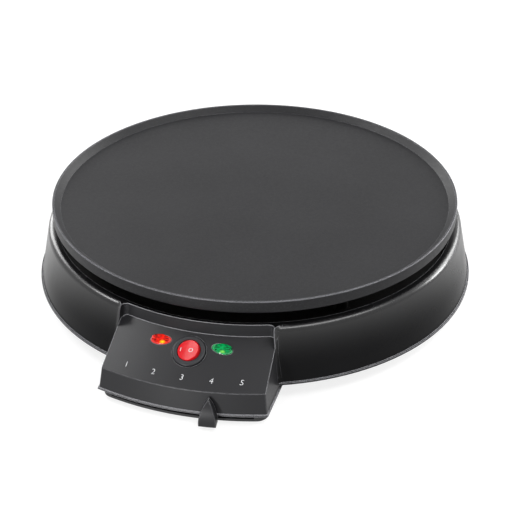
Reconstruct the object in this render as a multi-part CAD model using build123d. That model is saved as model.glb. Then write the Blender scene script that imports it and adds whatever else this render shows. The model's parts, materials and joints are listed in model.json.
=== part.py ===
from build123d import *
from math import acos, asin, atan, cos, degrees, pi, radians, sin, sqrt, tan
import os

# Electric crepe maker: a round flared base with a control pod in front and a lift-off cooking
# plate above. Millimetres, +Z up, the pod towards -Y, resting on Z = 0.
# Everything is built about the base's vertical axis and moved once, at export, so that the
# origin is the middle of the footprint.

# ---- cooking plate and what carries it ----
plate_radius = 155.0
plate_gap = 9.3               # ring top to the plate's rim underside
plate_wall_height = 10.0
rim_width = 1.4
rim_round = 0.5
dish_depth = 4.5
dish_slope_width = 5.0        # sloped inner wall of the rim, in plan
plate_floor = 4.5
plate_skin = 3.0
plate_edge_round = 2.5
locating_ring_depth = 4.0
locating_ring_wall = 3.0
locating_clearance = 0.6
post_inset = 27.0             # plate's edge to the posts' circle
post_angles = (-135, -45, 45, 135)
post_radius = 4.5
post_flange_radius = 6.0
post_flange_height = 1.5
post_screw_depth = 9.0

# ---- base moulding ----
foot_height = 12.5            # table to the bottom cover's underside
lip_inset = 0.5               # the skirt's lip hangs this much below the bottom cover
skirt_overhang = 11.2         # skirt's foot beyond the plate, in plan
skirt_draft = 10.6            # degrees
lip_out = 1.2
lip_height = 1.5
shoulder_radius = 4.7
wall = 2.5
ring_land = 3.1               # flat top between the shoulder and the well
well_wall = 2.9
ledge_depth = 8.7             # ring top to the ledge that carries the pan
ledge_thickness = 2.5
ledge_width = 10.5

# ---- control pod ----
pod_reach = 27.1              # panel's front edge beyond the skirt's foot
panel_front_rise = 12.0       # lip to the panel's front edge
panel_slope = 28.3            # degrees
pod_half_width = 59.5         # at the panel's front edge
pod_side_draft = 6.4          # degrees
pod_front_draft = 11.0        # degrees
pod_drop = 4.5                # the pod hangs this much below the lip
pod_heel_inset = 5.2          # skirt's foot to the rear end of the part that hangs below the lip
pod_blend = 5.0               # fillet between the pod's sides and the skirt
pod_edge_round = 0.9
recess_corner = 4.0
flange_out = 0.8
flange_height = 1.2

# ---- bottom cover, pod cover, feet ----
cover_thickness = 2.0
cover_clearance = 0.4
cover_screw_inset = 14.2      # skirt's foot to the screws' circle
cover_screw_angles = (-165, -105, -45, 45, 105, 165)
boss_radius = 4.5
vent_count = 16
vent_radius = 98.0
vent_length = 26.0
vent_width = 3.6
pod_cover_drop = 5.8          # below the pod's own lower edge
pod_cover_gap = 0.7           # to the inside of the pod's walls
pod_cover_lap = 4.0           # behind the pod's heel, under the base
pod_cover_wall_rise = 7.3
pod_cover_corner = 6.0
pod_cover_rim = 2.5           # lower part beyond the upper walls, below the pod's edge
pod_screw_inset = 9.0         # pod's side to its screws
pod_screw_reach = 7.0         # pod's heel to its screws
pod_boss_radius = 4.0
pod_pad_margin = 1.0          # pad on the cover beyond the boss above it
pod_pad_height = 2.0
arm_slot_clearance = 2.0      # slot's ends beyond the lever arm at its last marks
foot_radius = 9.0
foot_inset = 22.2             # skirt's foot to the feet's circle
foot_chamfer = 1.5
foot_angles = (-140, -40, 40, 140)
foot_plug_radius = 3.4
foot_plug_clearance = 0.15
foot_barb = 1.4
foot_barb_height = 2.0

# ---- screws ----
screw_radius = 1.45
screw_head_radius = 3.0
screw_head_height = 1.7
pilot_clearance = 0.05
pilot_spare = 1.0             # hole past its screw's end
hole_clearance = 0.3
cover_screw_depth = 13.0      # into the boss
pod_screw_depth = 11.0
sheet_screw_tip = 1.2         # shank past the far side of a sheet

# ---- pan and heater ----
pan_thickness = 1.0
pan_depth = 6.0               # ledge to the pan's floor, both undersides
pan_slope_width = 4.0
pan_clearance = 1.0
pan_screw_angles = (-150, -90, -30, 30, 90, 150)
pan_boss_radius = 3.5
pan_boss_length = 6.0
element_inset = 28.0          # posts' circle to the element's ring
element_radius = 4.0
element_plate_gap = 1.4
element_bend = 12.0
element_end_angle = 165.0
element_leg_below_pan = 7.0
element_hole_clearance = 1.0
terminal_pin_radius = 1.5
terminal_pin_length = 4.0
blade = (0.8, 6.3, 7.0)       # thickness, width, length of a push-on blade
blade_root = 1.0              # blade's end inside what carries it
clip_angles = (-120, 0, 120)
clip_thickness = 1.5
clip_width = 14.0
clip_foot = 12.0
clip_clearance = 0.15

# ---- thermostat, centre of the base ----
sensor_radius = 11.0
sensor_gap = 0.3              # to the plate's underside
sensor_hole_radius = 13.0
thermostat_radius = 13.0
thermostat_height = 10.0
thermostat_headroom = 2.0     # thermostat's top to the pan
thermostat_blade_rise = 4.0
bush_radius = 4.75
bush_length = 5.4
nut_width = 14.0
nut_height = 2.8
bracket_thickness = 1.2
bracket_width = 20.0
bracket_half_span = 23.2
bracket_foot = 13.0
shaft_radius = 3.0
shaft_clearance = 0.05
shaft_depth = 8.0             # into the thermostat's body

# ---- temperature lever ----
lever_angle = 6.5             # degrees from straight ahead, at the fourth of five marks
lever_first_mark = -13.0
lever_last_mark = 13.0
hub_radius = 9.0
hub_height = 6.1
hub_above_cover = 0.9
hub_clearance = 1.1           # hub's top to the thermostat's bush
hub_below_arm = 1.6
arm_thickness = 2.0
arm_width = 10.0
arm_step_inset = 11.3         # panel's front edge to the arm's step
arm_above_pod_cover = 0.7
knob_clearance = 0.7
knob_width = 12.5
knob_depth = 7.3
knob_bottom_gap = 1.4         # knob's lower edge to its arm
knob_shoulder = 2.0
knob_arch = 16.3
knob_belly = 8.0              # knob's lower edge to a point of its bowed front
knob_belly_inset = 0.7
knob_tip_depth = 2.6
knob_round = 0.7
knob_socket_length = 5.5
knob_socket_clearance = 0.05
grub_radius = 1.5

# ---- rocker switch ----
rocker_radius = 8.2
rocker_clearance = 0.25
rocker_pivot = 0.2
rocker_crown = 2.0            # pivot to the middle of the dished top
rocker_tilt = 10.0            # degrees either way
rocker_depth = 5.5
rocker_edge_round = 0.5
rocker_pin_radius = 1.0
rocker_pin_clearance = 0.05
barrel_wall = 0.8
barrel_depth = 9.5
barrel_floor = 2.0
barrel_clearance = 0.15
bezel_land = 2.6              # bezel beyond the barrel
bezel_proud = 1.8
bezel_seat = 1.4
bezel_round = 1.1
bezel_from_band = 3.0         # bezel to the wall behind the panel
switch_blade_pitch = 5.5

# ---- indicator lamps ----
lens_half_length = 7.5
lens_half_width = 3.7
lens_gap = 2.95               # switch's bezel to each lens
lens_from_band = 6.1          # lens to the wall behind the panel
lens_axis_turn = 4.0          # degrees, inner ends towards the rear
lens_proud = 0.6
lens_clearance = 0.1
lens_seat = 0.5               # panel's underside to the lens's flange
lens_flange = 1.5
lens_flange_thickness = 1.4
lens_round = 0.48
lamp_radius = 3.0
lamp_length = 9.0
lamp_headroom = 1.2
lamp_holder_wall = 1.3
lamp_clearance = 0.3

# ---- mains entry, cut-out, earth and wiring ----
gland_rise = 16.0             # lip to the gland's axis
gland_bore_radius = 3.7
gland_neck_half = 5.6         # square neck in a square hole, so that the gland can't turn
gland_neck_corner = 1.5
gland_flange_radius = 8.5
gland_flange_thickness = 2.0
gland_inner_length = 5.0
gland_clearance = 0.3
block_size = (30.0, 12.0, 13.0)
block_inset = 9.0             # ledge's inner edge to the block's middle
block_pitch = 9.0
cutout_radius = 8.0
cutout_height = 7.0
cutout_place = (46.0, 40.0)
earth_place = (-46.0, 44.0)
earth_tab_size = (8.0, 16.0, 0.8)
earth_blade_width = 6.0
earth_blade_drop = 8.0
lead_radius = 1.3
lead_end_gap = 0.3
lead_end_run = 2.5            # straight stretch square to each terminal
lane_inset = 24.0             # ledge's inner edge to the wires that run round the base
lane_rise = 11.5              # bottom cover to those wires

# ---- heights that follow, from the table up ----
lip_z = foot_height - lip_inset
cover_top = foot_height + cover_thickness
pod_z = lip_z - pod_drop
pod_cover_z = pod_z - pod_cover_drop
pod_floor_top = pod_cover_z + cover_thickness
arm_foot_z = pod_floor_top + arm_above_pod_cover
panel_z = lip_z + panel_front_rise
hub_z = cover_top + hub_above_cover
hub_top = hub_z + hub_height
arm_z = hub_z + hub_below_arm
grub_z = hub_z + hub_height / 2
web_top = hub_top + hub_clearance + bush_length
pan_floor_z = web_top + thermostat_height + thermostat_headroom
pan_floor_top = pan_floor_z + pan_thickness
ledge_z = pan_floor_z + pan_depth
ledge_underside = ledge_z - ledge_thickness
ring_z = ledge_z + ledge_depth
rim_underside = ring_z + plate_gap
rim_top = rim_underside + plate_wall_height
dish_z = rim_top - dish_depth
plate_underside = dish_z - plate_floor
element_z = plate_underside - element_plate_gap - element_radius
lane_z = cover_top + lane_rise

# ---- radii and places that follow, from the plate ----
dish_floor_radius = plate_radius - rim_width - dish_slope_width
post_ring_radius = plate_radius - post_inset
element_ring_radius = post_ring_radius - element_inset
skirt_foot_radius = plate_radius + skirt_overhang
lip_radius = skirt_foot_radius + lip_out
skirt_slope = tan(radians(skirt_draft))
shoulder_z = ring_z - shoulder_radius
shoulder_middle = skirt_foot_radius - (shoulder_z - lip_z - lip_height) * skirt_slope \
    - shoulder_radius / cos(radians(skirt_draft))
well_radius = shoulder_middle - ring_land
band_radius = well_radius + well_wall
ledge_radius = well_radius - ledge_width
pan_edge_radius = ledge_radius - pan_clearance
pan_floor_radius = pan_edge_radius - pan_slope_width
pan_screw_radius = (ledge_radius + well_radius) / 2 - pan_clearance
cover_screw_radius = skirt_foot_radius - cover_screw_inset
foot_ring_radius = skirt_foot_radius - foot_inset
panel_front_radius = skirt_foot_radius + pod_reach
pod_heel_radius = skirt_foot_radius - pod_heel_inset
pod_cover_back_radius = pod_heel_radius - pod_cover_lap
pod_screw_x = pod_half_width - pod_screw_inset
pod_screw_y = -(pod_heel_radius + pod_screw_reach)
arm_step_radius = panel_front_radius - arm_step_inset
block_y = ledge_radius - block_inset
lane_radius = ledge_radius - lane_inset
barrel_bore = rocker_radius + rocker_clearance
barrel_radius = barrel_bore + barrel_wall
bezel_radius = barrel_radius + bezel_land
pin_half_length = (rocker_radius + bezel_radius) / 2
switch_radius_on_panel = band_radius + bezel_from_band + bezel_radius * cos(radians(panel_slope))
lens_x = bezel_radius + lens_gap + lens_half_length
lens_radius_on_panel = band_radius + lens_from_band + lens_half_width * cos(radians(panel_slope))
lens_back = -wall - lens_seat - lens_flange_thickness
lamp_holder_length = lamp_holder_wall + lamp_length + lamp_headroom
far = 260.0                   # beyond every edge of the part, for cutting tools
pod_arc = 60.0                # degrees, wide enough for the pod
knob_arc = 20.0


def polar(radius, angle, z=0.0):
    """Point at an angle from straight ahead (-Y), positive towards +X."""
    return Vector(radius * sin(radians(angle)), -radius * cos(radians(angle)), z)


def turned(points, arc=360.0, middle=0.0):
    """Solid of revolution of a closed (radius, z) outline, its arc centred on an angle."""
    return spun(make_face(Polyline(*[(r, 0, z) for r, z in points], close=True)), arc, middle)


def spun(outline, arc, middle=0.0):
    """Solid of revolution of a face in the XZ plane."""
    return Rot(0, 0, middle - 90 - arc / 2) * revolve(outline, Axis.Z, arc)


on_base = (Align.CENTER, Align.CENTER, Align.MIN)


def rod(radius, z_low, z_high, at=(0, 0)):
    """Upright cylinder between two heights."""
    return Pos(at[0], at[1], z_low) * Cylinder(radius, z_high - z_low, align=on_base)


def block(x_size, y_size, z_low, z_high, at=(0, 0)):
    """Upright box between two heights."""
    return Pos(at[0], at[1], z_low) * Box(x_size, y_size, z_high - z_low, align=on_base)


def screw(x, y, seat_z, length, head_down):
    """Pan-head screw with its head on one side of a seat and its shank through the other."""
    way = 1 if head_down else -1
    head = rod(screw_head_radius, *sorted((seat_z, seat_z - way * screw_head_height)), at=(x, y))
    shank = rod(screw_radius, *sorted((seat_z, seat_z + way * length)), at=(x, y))
    return head + shank


def skirt_radius(z):
    return skirt_foot_radius - (z - lip_z - lip_height) * skirt_slope


def skirt_solid(inset, bottom_z):
    """Filled skirt with its rounded shoulder, inset evenly from the outer surface."""
    draft = radians(skirt_draft)
    arc_radius = shoulder_radius - inset
    middle_angle = (pi / 2 + draft) / 2
    foot = Vector(skirt_radius(bottom_z) - inset / cos(draft), 0, bottom_z)
    centre = Vector(shoulder_middle, 0, shoulder_z)
    tangent = centre + Vector(cos(draft), 0, sin(draft)) * arc_radius
    middle = centre + Vector(cos(middle_angle), 0, sin(middle_angle)) * arc_radius
    top = centre + Vector(0, 0, arc_radius)
    outline = make_face([
        Polyline((0, 0, bottom_z), foot, tangent),
        ThreePointArc(tangent, middle, top),
        Polyline(top, (0, 0, top.Z), (0, 0, bottom_z)),
    ])
    return revolve(outline, Axis.Z)


def panel_height(radius):
    return panel_z + (panel_front_radius - radius) * tan(radians(panel_slope))


def pod_front(z):
    return panel_front_radius + (panel_z - z) * tan(radians(pod_front_draft))


def pod_side(z):
    return pod_half_width + (panel_z - z) * tan(radians(pod_side_draft))


def pod_wedge(inset):
    """Everything between the pod's two drafted sides."""
    slack = inset / cos(radians(pod_side_draft))
    low, high = pod_side(0) - slack, pod_side(far) - slack
    outline = make_face(Polyline((-low, 0, 0), (low, 0, 0), (high, 0, far), (-high, 0, far), close=True))
    return extrude(outline, far, dir=(0, -1, 0))


def under_panel(inset, bottom_z, back_radius):
    """Solid of revolution below the panel's cone and behind the pod's front wall."""
    drop = inset / cos(radians(panel_slope))
    draft = tan(radians(pod_front_draft))
    slack = inset / cos(radians(pod_front_draft))
    corner_fall = (drop - slack * tan(radians(panel_slope))) / (1 + draft * tan(radians(panel_slope)))
    corner = (pod_front(panel_z - corner_fall) - slack, panel_z - corner_fall)
    return turned([
        (back_radius, bottom_z),
        (pod_front(bottom_z) - slack, bottom_z),
        corner,
        (back_radius, panel_height(back_radius) - drop),
    ], arc=pod_arc)


def above_panel(drop, inner_radius):
    """Everything above the panel's cone, lowered by a drop, from a radius outwards."""
    return turned([
        (inner_radius, panel_height(inner_radius) - drop),
        (far, panel_height(far) - drop),
        (far, far),
        (inner_radius, far),
    ], arc=pod_arc)


def base_housing():
    """Skirt, ring, well and pod shell in one moulding."""
    heel = ledge_radius - ledge_width
    pod_block = turned([
        (heel, lip_z), (pod_heel_radius, lip_z), (pod_heel_radius, pod_z),
        (pod_front(pod_z), pod_z), (pod_front(ring_z), ring_z), (heel, ring_z),
    ], arc=pod_arc)
    shape = skirt_solid(0, lip_z) + (pod_block & pod_wedge(0))
    shape = fillet([e for e in shape.edges() if is_pod_seam(e)], pod_blend)

    recess = above_panel(0, band_radius) & pod_wedge(0)
    recess_ends = [e for e in recess.edges() if on_band(e) and abs(e.tangent_at(0.5).Z) > 0.9]
    shape -= fillet(recess_ends, recess_corner)
    shape = fillet([e for e in shape.edges() if is_front_edge(e)], pod_edge_round)

    flange = under_panel(-flange_out, pod_z, pod_heel_radius) & pod_wedge(-flange_out)
    shape += flange & block(far, 2 * far, pod_z, pod_z + flange_height)
    shape += rod(lip_radius, lip_z, lip_z + lip_height)

    recess_walls = above_panel(wall / cos(radians(panel_slope)), band_radius - wall) & pod_wedge(-wall)
    pod_inside = under_panel(wall, pod_z - 1, heel) & pod_wedge(wall)
    inside = skirt_solid(wall, lip_z - 1) - recess_walls + pod_inside
    shape -= inside - rod(band_radius, ledge_z - ledge_thickness, ring_z)
    shape -= rod(well_radius, ledge_z, far)
    shape -= rod(ledge_radius, 0, far)
    shape += housing_bosses()
    shape -= panel_holes()
    shape -= pilot_holes()
    shape -= gland_axis() * gland_neck(hole_clearance, -2 * wall, 2 * wall)
    return shape


def is_pod_seam(edge):
    """Upright edge where a side of the pod meets the skirt."""
    centre = edge.center()
    side = pod_side(centre.Z)
    on_skirt = abs(centre.Y + sqrt(skirt_radius(centre.Z) ** 2 - side ** 2)) < 3
    return abs(abs(centre.X) - side) < 0.5 and on_skirt and abs(edge.tangent_at(0.5).Z) > 0.5


def on_band(edge):
    """Edge on the upright wall behind the panel."""
    return abs(Vector(edge.center().X, edge.center().Y).length - band_radius) < 1


def is_front_edge(edge):
    """The panel's front edge, or one of the two upright corners below it."""
    centre = edge.center()
    along_top = abs(centre.Z - panel_z) < 0.5 and abs(centre.Y + panel_front_radius) < 1
    corner = abs(abs(centre.X) - pod_side(centre.Z)) < 0.3 and centre.Y < -panel_front_radius + 13
    return along_top or (corner and centre.Z < panel_z - 2 and abs(edge.tangent_at(0.5).Z) > 0.8)


def cover_screw_places():
    return [polar(cover_screw_radius, angle) for angle in cover_screw_angles]


def pod_screw_places():
    return [Vector(side * pod_screw_x, pod_screw_y) for side in (-1, 1)]


def pan_screw_places():
    return [polar(pan_screw_radius, angle) for angle in pan_screw_angles]


def housing_bosses():
    """Screw bosses under the ledge and under the panel."""
    in_ledge = ledge_z - ledge_thickness / 2
    bosses = [rod(boss_radius, cover_top, in_ledge, at=(p.X, p.Y)) for p in cover_screw_places()]
    bosses += [rod(pan_boss_radius, ledge_underside - pan_boss_length, in_ledge, at=(p.X, p.Y))
               for p in pan_screw_places()]
    ceiling = under_panel(wall / 2, 0, ledge_radius)
    bosses += [rod(pod_boss_radius, pod_floor_top + pod_pad_height, ring_z, at=(p.X, p.Y)) & ceiling
               for p in pod_screw_places()]
    return bosses


def pilot_holes():
    radius = screw_radius + pilot_clearance
    cover_end = cover_top + cover_screw_depth + pilot_spare
    pod_end = pod_floor_top + pod_pad_height + pod_screw_depth + pilot_spare
    pan_end = ledge_underside - pan_boss_length + pilot_spare
    holes = [rod(radius, 0, cover_end, at=(p.X, p.Y)) for p in cover_screw_places()]
    holes += [rod(radius, 0, pod_end, at=(p.X, p.Y)) for p in pod_screw_places()]
    holes += [rod(radius, pan_end, far, at=(p.X, p.Y)) for p in pan_screw_places()]
    return holes


def panel_frame(radius, angle=0.0, turn=0.0):
    """Frame on the panel: local Z out of it, local X across it."""
    normal = Vector(0, -sin(radians(panel_slope)), cos(radians(panel_slope))).rotate(Axis.Z, angle)
    across = Vector(1, 0, 0).rotate(Axis.Z, angle)
    plane = Plane(polar(radius, angle, panel_height(radius)), x_dir=across, z_dir=normal)
    return plane.location * Rot(0, 0, turn)


def switch_frame():
    return panel_frame(switch_radius_on_panel)


def lens_frame(side):
    """Frame of the left (-1) or right (+1) lens."""
    angle = side * degrees(asin(lens_x / lens_radius_on_panel))
    return panel_frame(lens_radius_on_panel, angle, turn=-angle - side * lens_axis_turn)


def lens_prism(margin, low, high):
    """Oval prism in a lens's own frame."""
    oval = Ellipse(lens_half_length + margin, lens_half_width + margin)
    return Pos(0, 0, low) * extrude(oval, high - low)


def panel_holes():
    """Openings in the panel for the switch and the two lenses."""
    seat = rod(bezel_radius + rocker_clearance, -bezel_seat, bezel_proud)
    hole = rod(barrel_radius + barrel_clearance, -2 * wall, 0)
    holes = [switch_frame() * seat, switch_frame() * hole]
    holes += [lens_frame(side) * lens_prism(lens_clearance, -2 * wall, wall) for side in (-1, 1)]
    return holes


def gland_axis():
    """Frame on the rear skirt: local Z straight out of the back."""
    z = lip_z + gland_rise
    return Plane((0, skirt_radius(z), z), x_dir=(1, 0, 0), z_dir=(0, 1, 0)).location


def gland_neck(margin, low, high):
    """Square prism with rounded corners, along the gland's axis."""
    side = 2 * (gland_neck_half + margin)
    return Pos(0, 0, low) * extrude(RectangleRounded(side, side, gland_neck_corner), high - low)


# ---- underside ----
def bottom_cover():
    radius = skirt_radius(cover_top) - wall / cos(radians(skirt_draft)) - cover_clearance
    shape = rod(radius, foot_height, cover_top)
    shape -= [rod(screw_radius + hole_clearance, 0, far, at=(p.X, p.Y)) for p in cover_screw_places()]
    for angle in foot_angles:
        place = polar(foot_ring_radius, angle)
        shape -= rod(foot_plug_radius + foot_plug_clearance, 0, far, at=(place.X, place.Y))
    slot = extrude(SlotOverall(vent_length, vent_width), far)
    for step in range(vent_count):
        angle = 360 * (step + 0.5) / vent_count
        shape -= Rot(0, 0, angle) * Pos(vent_radius, 0, 0) * slot
    return shape


def pod_cover_half_width():
    return pod_side(pod_z + pod_cover_wall_rise) - wall / cos(radians(pod_side_draft)) - pod_cover_gap


def pod_cover_outline(inset):
    """Plan of the pod cover, its two front corners rounded."""
    top = pod_z + pod_cover_wall_rise
    front = pod_front(top) - wall / cos(radians(pod_front_draft)) - pod_cover_gap - inset
    back = pod_cover_back_radius + max(inset, 0)
    ring = turned([(back, 0), (front, 0), (front, 1), (back, 1)], arc=pod_arc)
    plan = ring & block(2 * (pod_cover_half_width() - inset), far, 0, 1, at=(0, -far / 2))
    upright = [e for e in plan.edges() if abs(e.tangent_at(0.5).Z) > 0.9]
    corners = [e for e in upright if e.center().Y < -pod_cover_back_radius]
    return fillet(corners, pod_cover_corner - inset).faces().sort_by(Axis.Z)[-1]


def pod_cover_layer(inset, low, high):
    """Slab of the cover's plan, between two heights."""
    return Pos(0, 0, low - 1) * extrude(pod_cover_outline(inset), high - low)


def pod_cover():
    """Shallow tray: walls inside the pod, a wider rim below its edge, the lever's slot in front."""
    top = pod_cover_z + pod_cover_wall_rise
    rim_z = pod_z - hole_clearance
    shape = pod_cover_layer(0, pod_cover_z, top) + pod_cover_layer(-pod_cover_rim, pod_cover_z, rim_z)
    shape -= pod_cover_layer(cover_thickness, pod_floor_top, far)
    shape -= pod_cover_layer(cover_thickness - pod_cover_rim, pod_floor_top, rim_z - cover_thickness)
    back, wall_top = pod_cover_back_radius, foot_height - hole_clearance
    back_wall = turned([(back, pod_cover_z), (back + cover_thickness, pod_cover_z),
                        (back + cover_thickness, wall_top), (back, wall_top)], arc=pod_arc)
    shape += back_wall & block(2 * pod_cover_half_width(), far, 0, far, at=(0, -far / 2))
    pad_top = pod_floor_top + pod_pad_height
    for place in pod_screw_places():
        shape += rod(pod_boss_radius + pod_pad_margin, pod_cover_z, pad_top, at=(place.X, place.Y))
        shape -= rod(screw_radius + hole_clearance, 0, far, at=(place.X, place.Y))
        shape -= rod(screw_head_radius + hole_clearance, 0, pod_screw_seat(), at=(place.X, place.Y))
    spare = degrees(atan((arm_width / 2 + arm_slot_clearance) / pod_cover_back_radius))
    middle = (lever_first_mark + lever_last_mark) / 2
    sweep = lever_last_mark - lever_first_mark + 2 * spare
    slot = [(arm_step_radius, pod_floor_top), (far, pod_floor_top), (far, far), (arm_step_radius, far)]
    return shape - turned(slot, arc=sweep, middle=middle)


def rubber_feet():
    """Feet with a barbed plug through the bottom cover."""
    barb_top = cover_top + foot_barb_height
    foot = turned([
        (0, 0), (foot_radius - foot_chamfer, 0), (foot_radius, foot_chamfer), (foot_radius, foot_height),
        (foot_plug_radius, foot_height), (foot_plug_radius, cover_top),
        (foot_plug_radius + foot_barb, cover_top), (foot_plug_radius, barb_top), (0, barb_top),
    ])
    return [Location(polar(foot_ring_radius, angle)) * foot for angle in foot_angles]


def cover_screws():
    length = cover_thickness + cover_screw_depth
    return [screw(p.X, p.Y, foot_height, length, head_down=True) for p in cover_screw_places()]


def pod_screw_seat():
    return pod_cover_z + screw_head_height + hole_clearance


def pod_cover_screws():
    length = pod_floor_top + pod_pad_height + pod_screw_depth - pod_screw_seat()
    return [screw(p.X, p.Y, pod_screw_seat(), length, head_down=True) for p in pod_screw_places()]


# ---- cooking plate ----
def hot_plate():
    """Cast plate with a sloped rim, a flat cooking floor and a locating ring below."""
    ring_inner = post_ring_radius + post_radius + locating_clearance
    ring_outer = ring_inner + locating_ring_wall
    ring_bottom = plate_underside - locating_ring_depth
    shape = turned([
        (0, plate_underside), (ring_inner, plate_underside), (ring_inner, ring_bottom),
        (ring_outer, ring_bottom), (ring_outer, plate_underside), (dish_floor_radius - plate_skin, plate_underside),
        (dish_floor_radius, rim_underside), (plate_radius, rim_underside), (plate_radius, rim_top),
        (plate_radius - rim_width, rim_top), (dish_floor_radius, dish_z), (0, dish_z),
    ])
    lower = [e for e in circles_at(shape, rim_underside) if e.radius > plate_radius - 1]
    shape = fillet(lower, plate_edge_round)
    return fillet(circles_at(shape, rim_top), rim_round)


def circles_at(shape, z):
    return [e for e in shape.edges() if abs(e.center().Z - z) < 0.01]


def support_posts():
    hole_end = pan_floor_top + post_screw_depth + pilot_spare
    post = rod(post_radius, pan_floor_top, plate_underside)
    post += rod(post_flange_radius, pan_floor_top, pan_floor_top + post_flange_height)
    post -= rod(screw_radius + pilot_clearance, 0, hole_end)
    return [Location(polar(post_ring_radius, angle)) * post for angle in post_angles]


def post_screws():
    places = [polar(post_ring_radius, angle) for angle in post_angles]
    return [screw(p.X, p.Y, pan_floor_z, pan_thickness + post_screw_depth, head_down=True) for p in places]


# ---- pan and heater ----
def clip_screw_place(angle):
    """Screw through the clip's foot, beside the element."""
    step = degrees(clip_foot / 2 / element_ring_radius)
    return polar(element_ring_radius, angle + step)


def leg_place(side):
    """Axis of one upright leg of the element; side is -1 or +1."""
    ring_end = polar(element_ring_radius, side * element_end_angle)
    forward = Vector(cos(radians(side * element_end_angle)), sin(radians(side * element_end_angle))) * -side
    return ring_end - forward * element_bend


def reflector_pan():
    flange_radius = well_radius - pan_clearance
    flange_top = ledge_z + pan_thickness
    shape = turned([
        (sensor_hole_radius, pan_floor_z), (pan_floor_radius, pan_floor_z), (pan_edge_radius, ledge_z),
        (flange_radius, ledge_z), (flange_radius, flange_top),
        (pan_edge_radius - pan_thickness, flange_top),
        (pan_floor_radius - pan_thickness, pan_floor_top), (sensor_hole_radius, pan_floor_top),
    ])
    shank = screw_radius + hole_clearance
    shape -= [rod(shank, 0, far, at=(p.X, p.Y)) for p in pan_screw_places()]
    shape -= [rod(shank, 0, far, at=(p.X, p.Y)) for p in [polar(post_ring_radius, a) for a in post_angles]]
    shape -= [rod(shank, 0, far, at=(p.X, p.Y)) for p in [clip_screw_place(a) for a in clip_angles]]
    shape -= [rod(shank, 0, far, at=(x, 0)) for x in bracket_screw_x()]
    shape -= rod(shank, 0, far, at=earth_place)
    legs = [leg_place(side) for side in (-1, 1)]
    shape -= [rod(element_radius + element_hole_clearance, 0, far, at=(p.X, p.Y)) for p in legs]
    return shape


def pan_screws():
    seat = ledge_z + pan_thickness
    length = pan_thickness + ledge_thickness + pan_boss_length - 2 * pilot_spare
    return [screw(p.X, p.Y, seat, length, head_down=False) for p in pan_screw_places()]


def heating_element():
    """Tubular element: one open ring whose two ends turn down through the pan."""
    low = pan_floor_z - element_leg_below_pan
    left, right = leg_place(-1), leg_place(1)
    ring_left = polar(element_ring_radius, -element_end_angle, element_z)
    ring_right = polar(element_ring_radius, element_end_angle, element_z)
    bend_z = element_z - element_bend
    path = Wire([
        Line((right.X, right.Y, low), (right.X, right.Y, bend_z)),
        TangentArc((right.X, right.Y, bend_z), ring_right, tangent=(0, 0, 1)),
        ThreePointArc(ring_right, polar(element_ring_radius, 0, element_z), ring_left),
        TangentArc((left.X, left.Y, bend_z), ring_left, tangent=(0, 0, 1)),
        Line((left.X, left.Y, bend_z), (left.X, left.Y, low)),
    ])
    section = Plane((right.X, right.Y, low)) * Circle(element_radius)
    return sweep(section, path=path)


def element_terminals():
    low = pan_floor_z - element_leg_below_pan
    parts = []
    for side in (-1, 1):
        place = leg_place(side)
        pin_end = low - terminal_pin_length
        pin = rod(terminal_pin_radius, pin_end, low, at=(place.X, place.Y))
        tab = block(blade[0], blade[1], pin_end - blade[2], pin_end + blade_root, at=(place.X, place.Y))
        parts.append(pin + tab)
    return parts


def element_clips():
    """Angle clips that hold the element up off the pan."""
    clips = []
    for angle in clip_angles:
        upright = block(clip_thickness, clip_width, pan_floor_top, element_z)
        foot_top = pan_floor_top + clip_thickness
        foot = block(clip_foot, clip_width, pan_floor_top, foot_top, at=(clip_foot / 2, 0))
        clip = Rot(0, 0, angle) * Pos(0, -element_ring_radius, 0) * (upright + foot)
        hole = clip_screw_place(angle)
        clip -= rod(screw_radius + hole_clearance, 0, far, at=(hole.X, hole.Y))
        clip -= Pos(0, 0, element_z) * Torus(element_ring_radius, element_radius + clip_clearance)
        clips.append(clip)
    return clips


def clip_screws():
    places = [clip_screw_place(angle) for angle in clip_angles]
    seat = pan_floor_top + clip_thickness
    length = clip_thickness + pan_thickness + sheet_screw_tip
    return [screw(p.X, p.Y, seat, length, head_down=False) for p in places]


# ---- thermostat ----
def bracket_screw_x():
    reach = bracket_half_span + bracket_foot / 2
    return (-reach, reach)


def thermostat_bracket():
    """Hat-shaped strap under the pan that carries the thermostat."""
    t = bracket_thickness
    web = web_top
    span, reach = bracket_half_span, bracket_half_span + bracket_foot
    outline = [(-reach, pan_floor_z), (-reach, pan_floor_z - t), (-span, pan_floor_z - t), (-span, web - t),
               (span, web - t), (span, pan_floor_z - t), (reach, pan_floor_z - t), (reach, pan_floor_z),
               (span - t, pan_floor_z), (span - t, web), (t - span, web), (t - span, pan_floor_z)]
    side_view = make_face(Polyline(*[(x, 0, z) for x, z in outline], close=True))
    strap = extrude(side_view, bracket_width / 2, both=True)
    strap -= rod(bush_radius + hole_clearance / 2, 0, far)
    strap -= [rod(screw_radius + hole_clearance, 0, far, at=(x, 0)) for x in bracket_screw_x()]
    return strap


def bracket_screws():
    seat = pan_floor_z - bracket_thickness
    length = bracket_thickness + pan_thickness + sheet_screw_tip
    return [screw(x, 0, seat, length, head_down=True) for x in bracket_screw_x()]


def thermostat_body():
    """Switch block with a threaded bush below and two blades at its sides."""
    body = rod(thermostat_radius, web_top, web_top + thermostat_height)
    body += rod(bush_radius, web_top - bush_length, web_top)
    body -= rod(shaft_radius + shaft_clearance, 0, web_top + shaft_depth + shaft_clearance)
    blade_z = web_top + thermostat_blade_rise
    for side in (-1, 1):
        body += block(blade[1], 2 * blade[2], blade_z, blade_z + blade[0], at=(0, side * thermostat_radius))
    return body


def thermostat_nut():
    hexagon = RegularPolygon(nut_width / 2, 6, major_radius=False)
    nut = Pos(0, 0, web_top - bracket_thickness - nut_height) * extrude(hexagon, nut_height)
    return nut - rod(bush_radius + pilot_clearance, 0, far)


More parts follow.
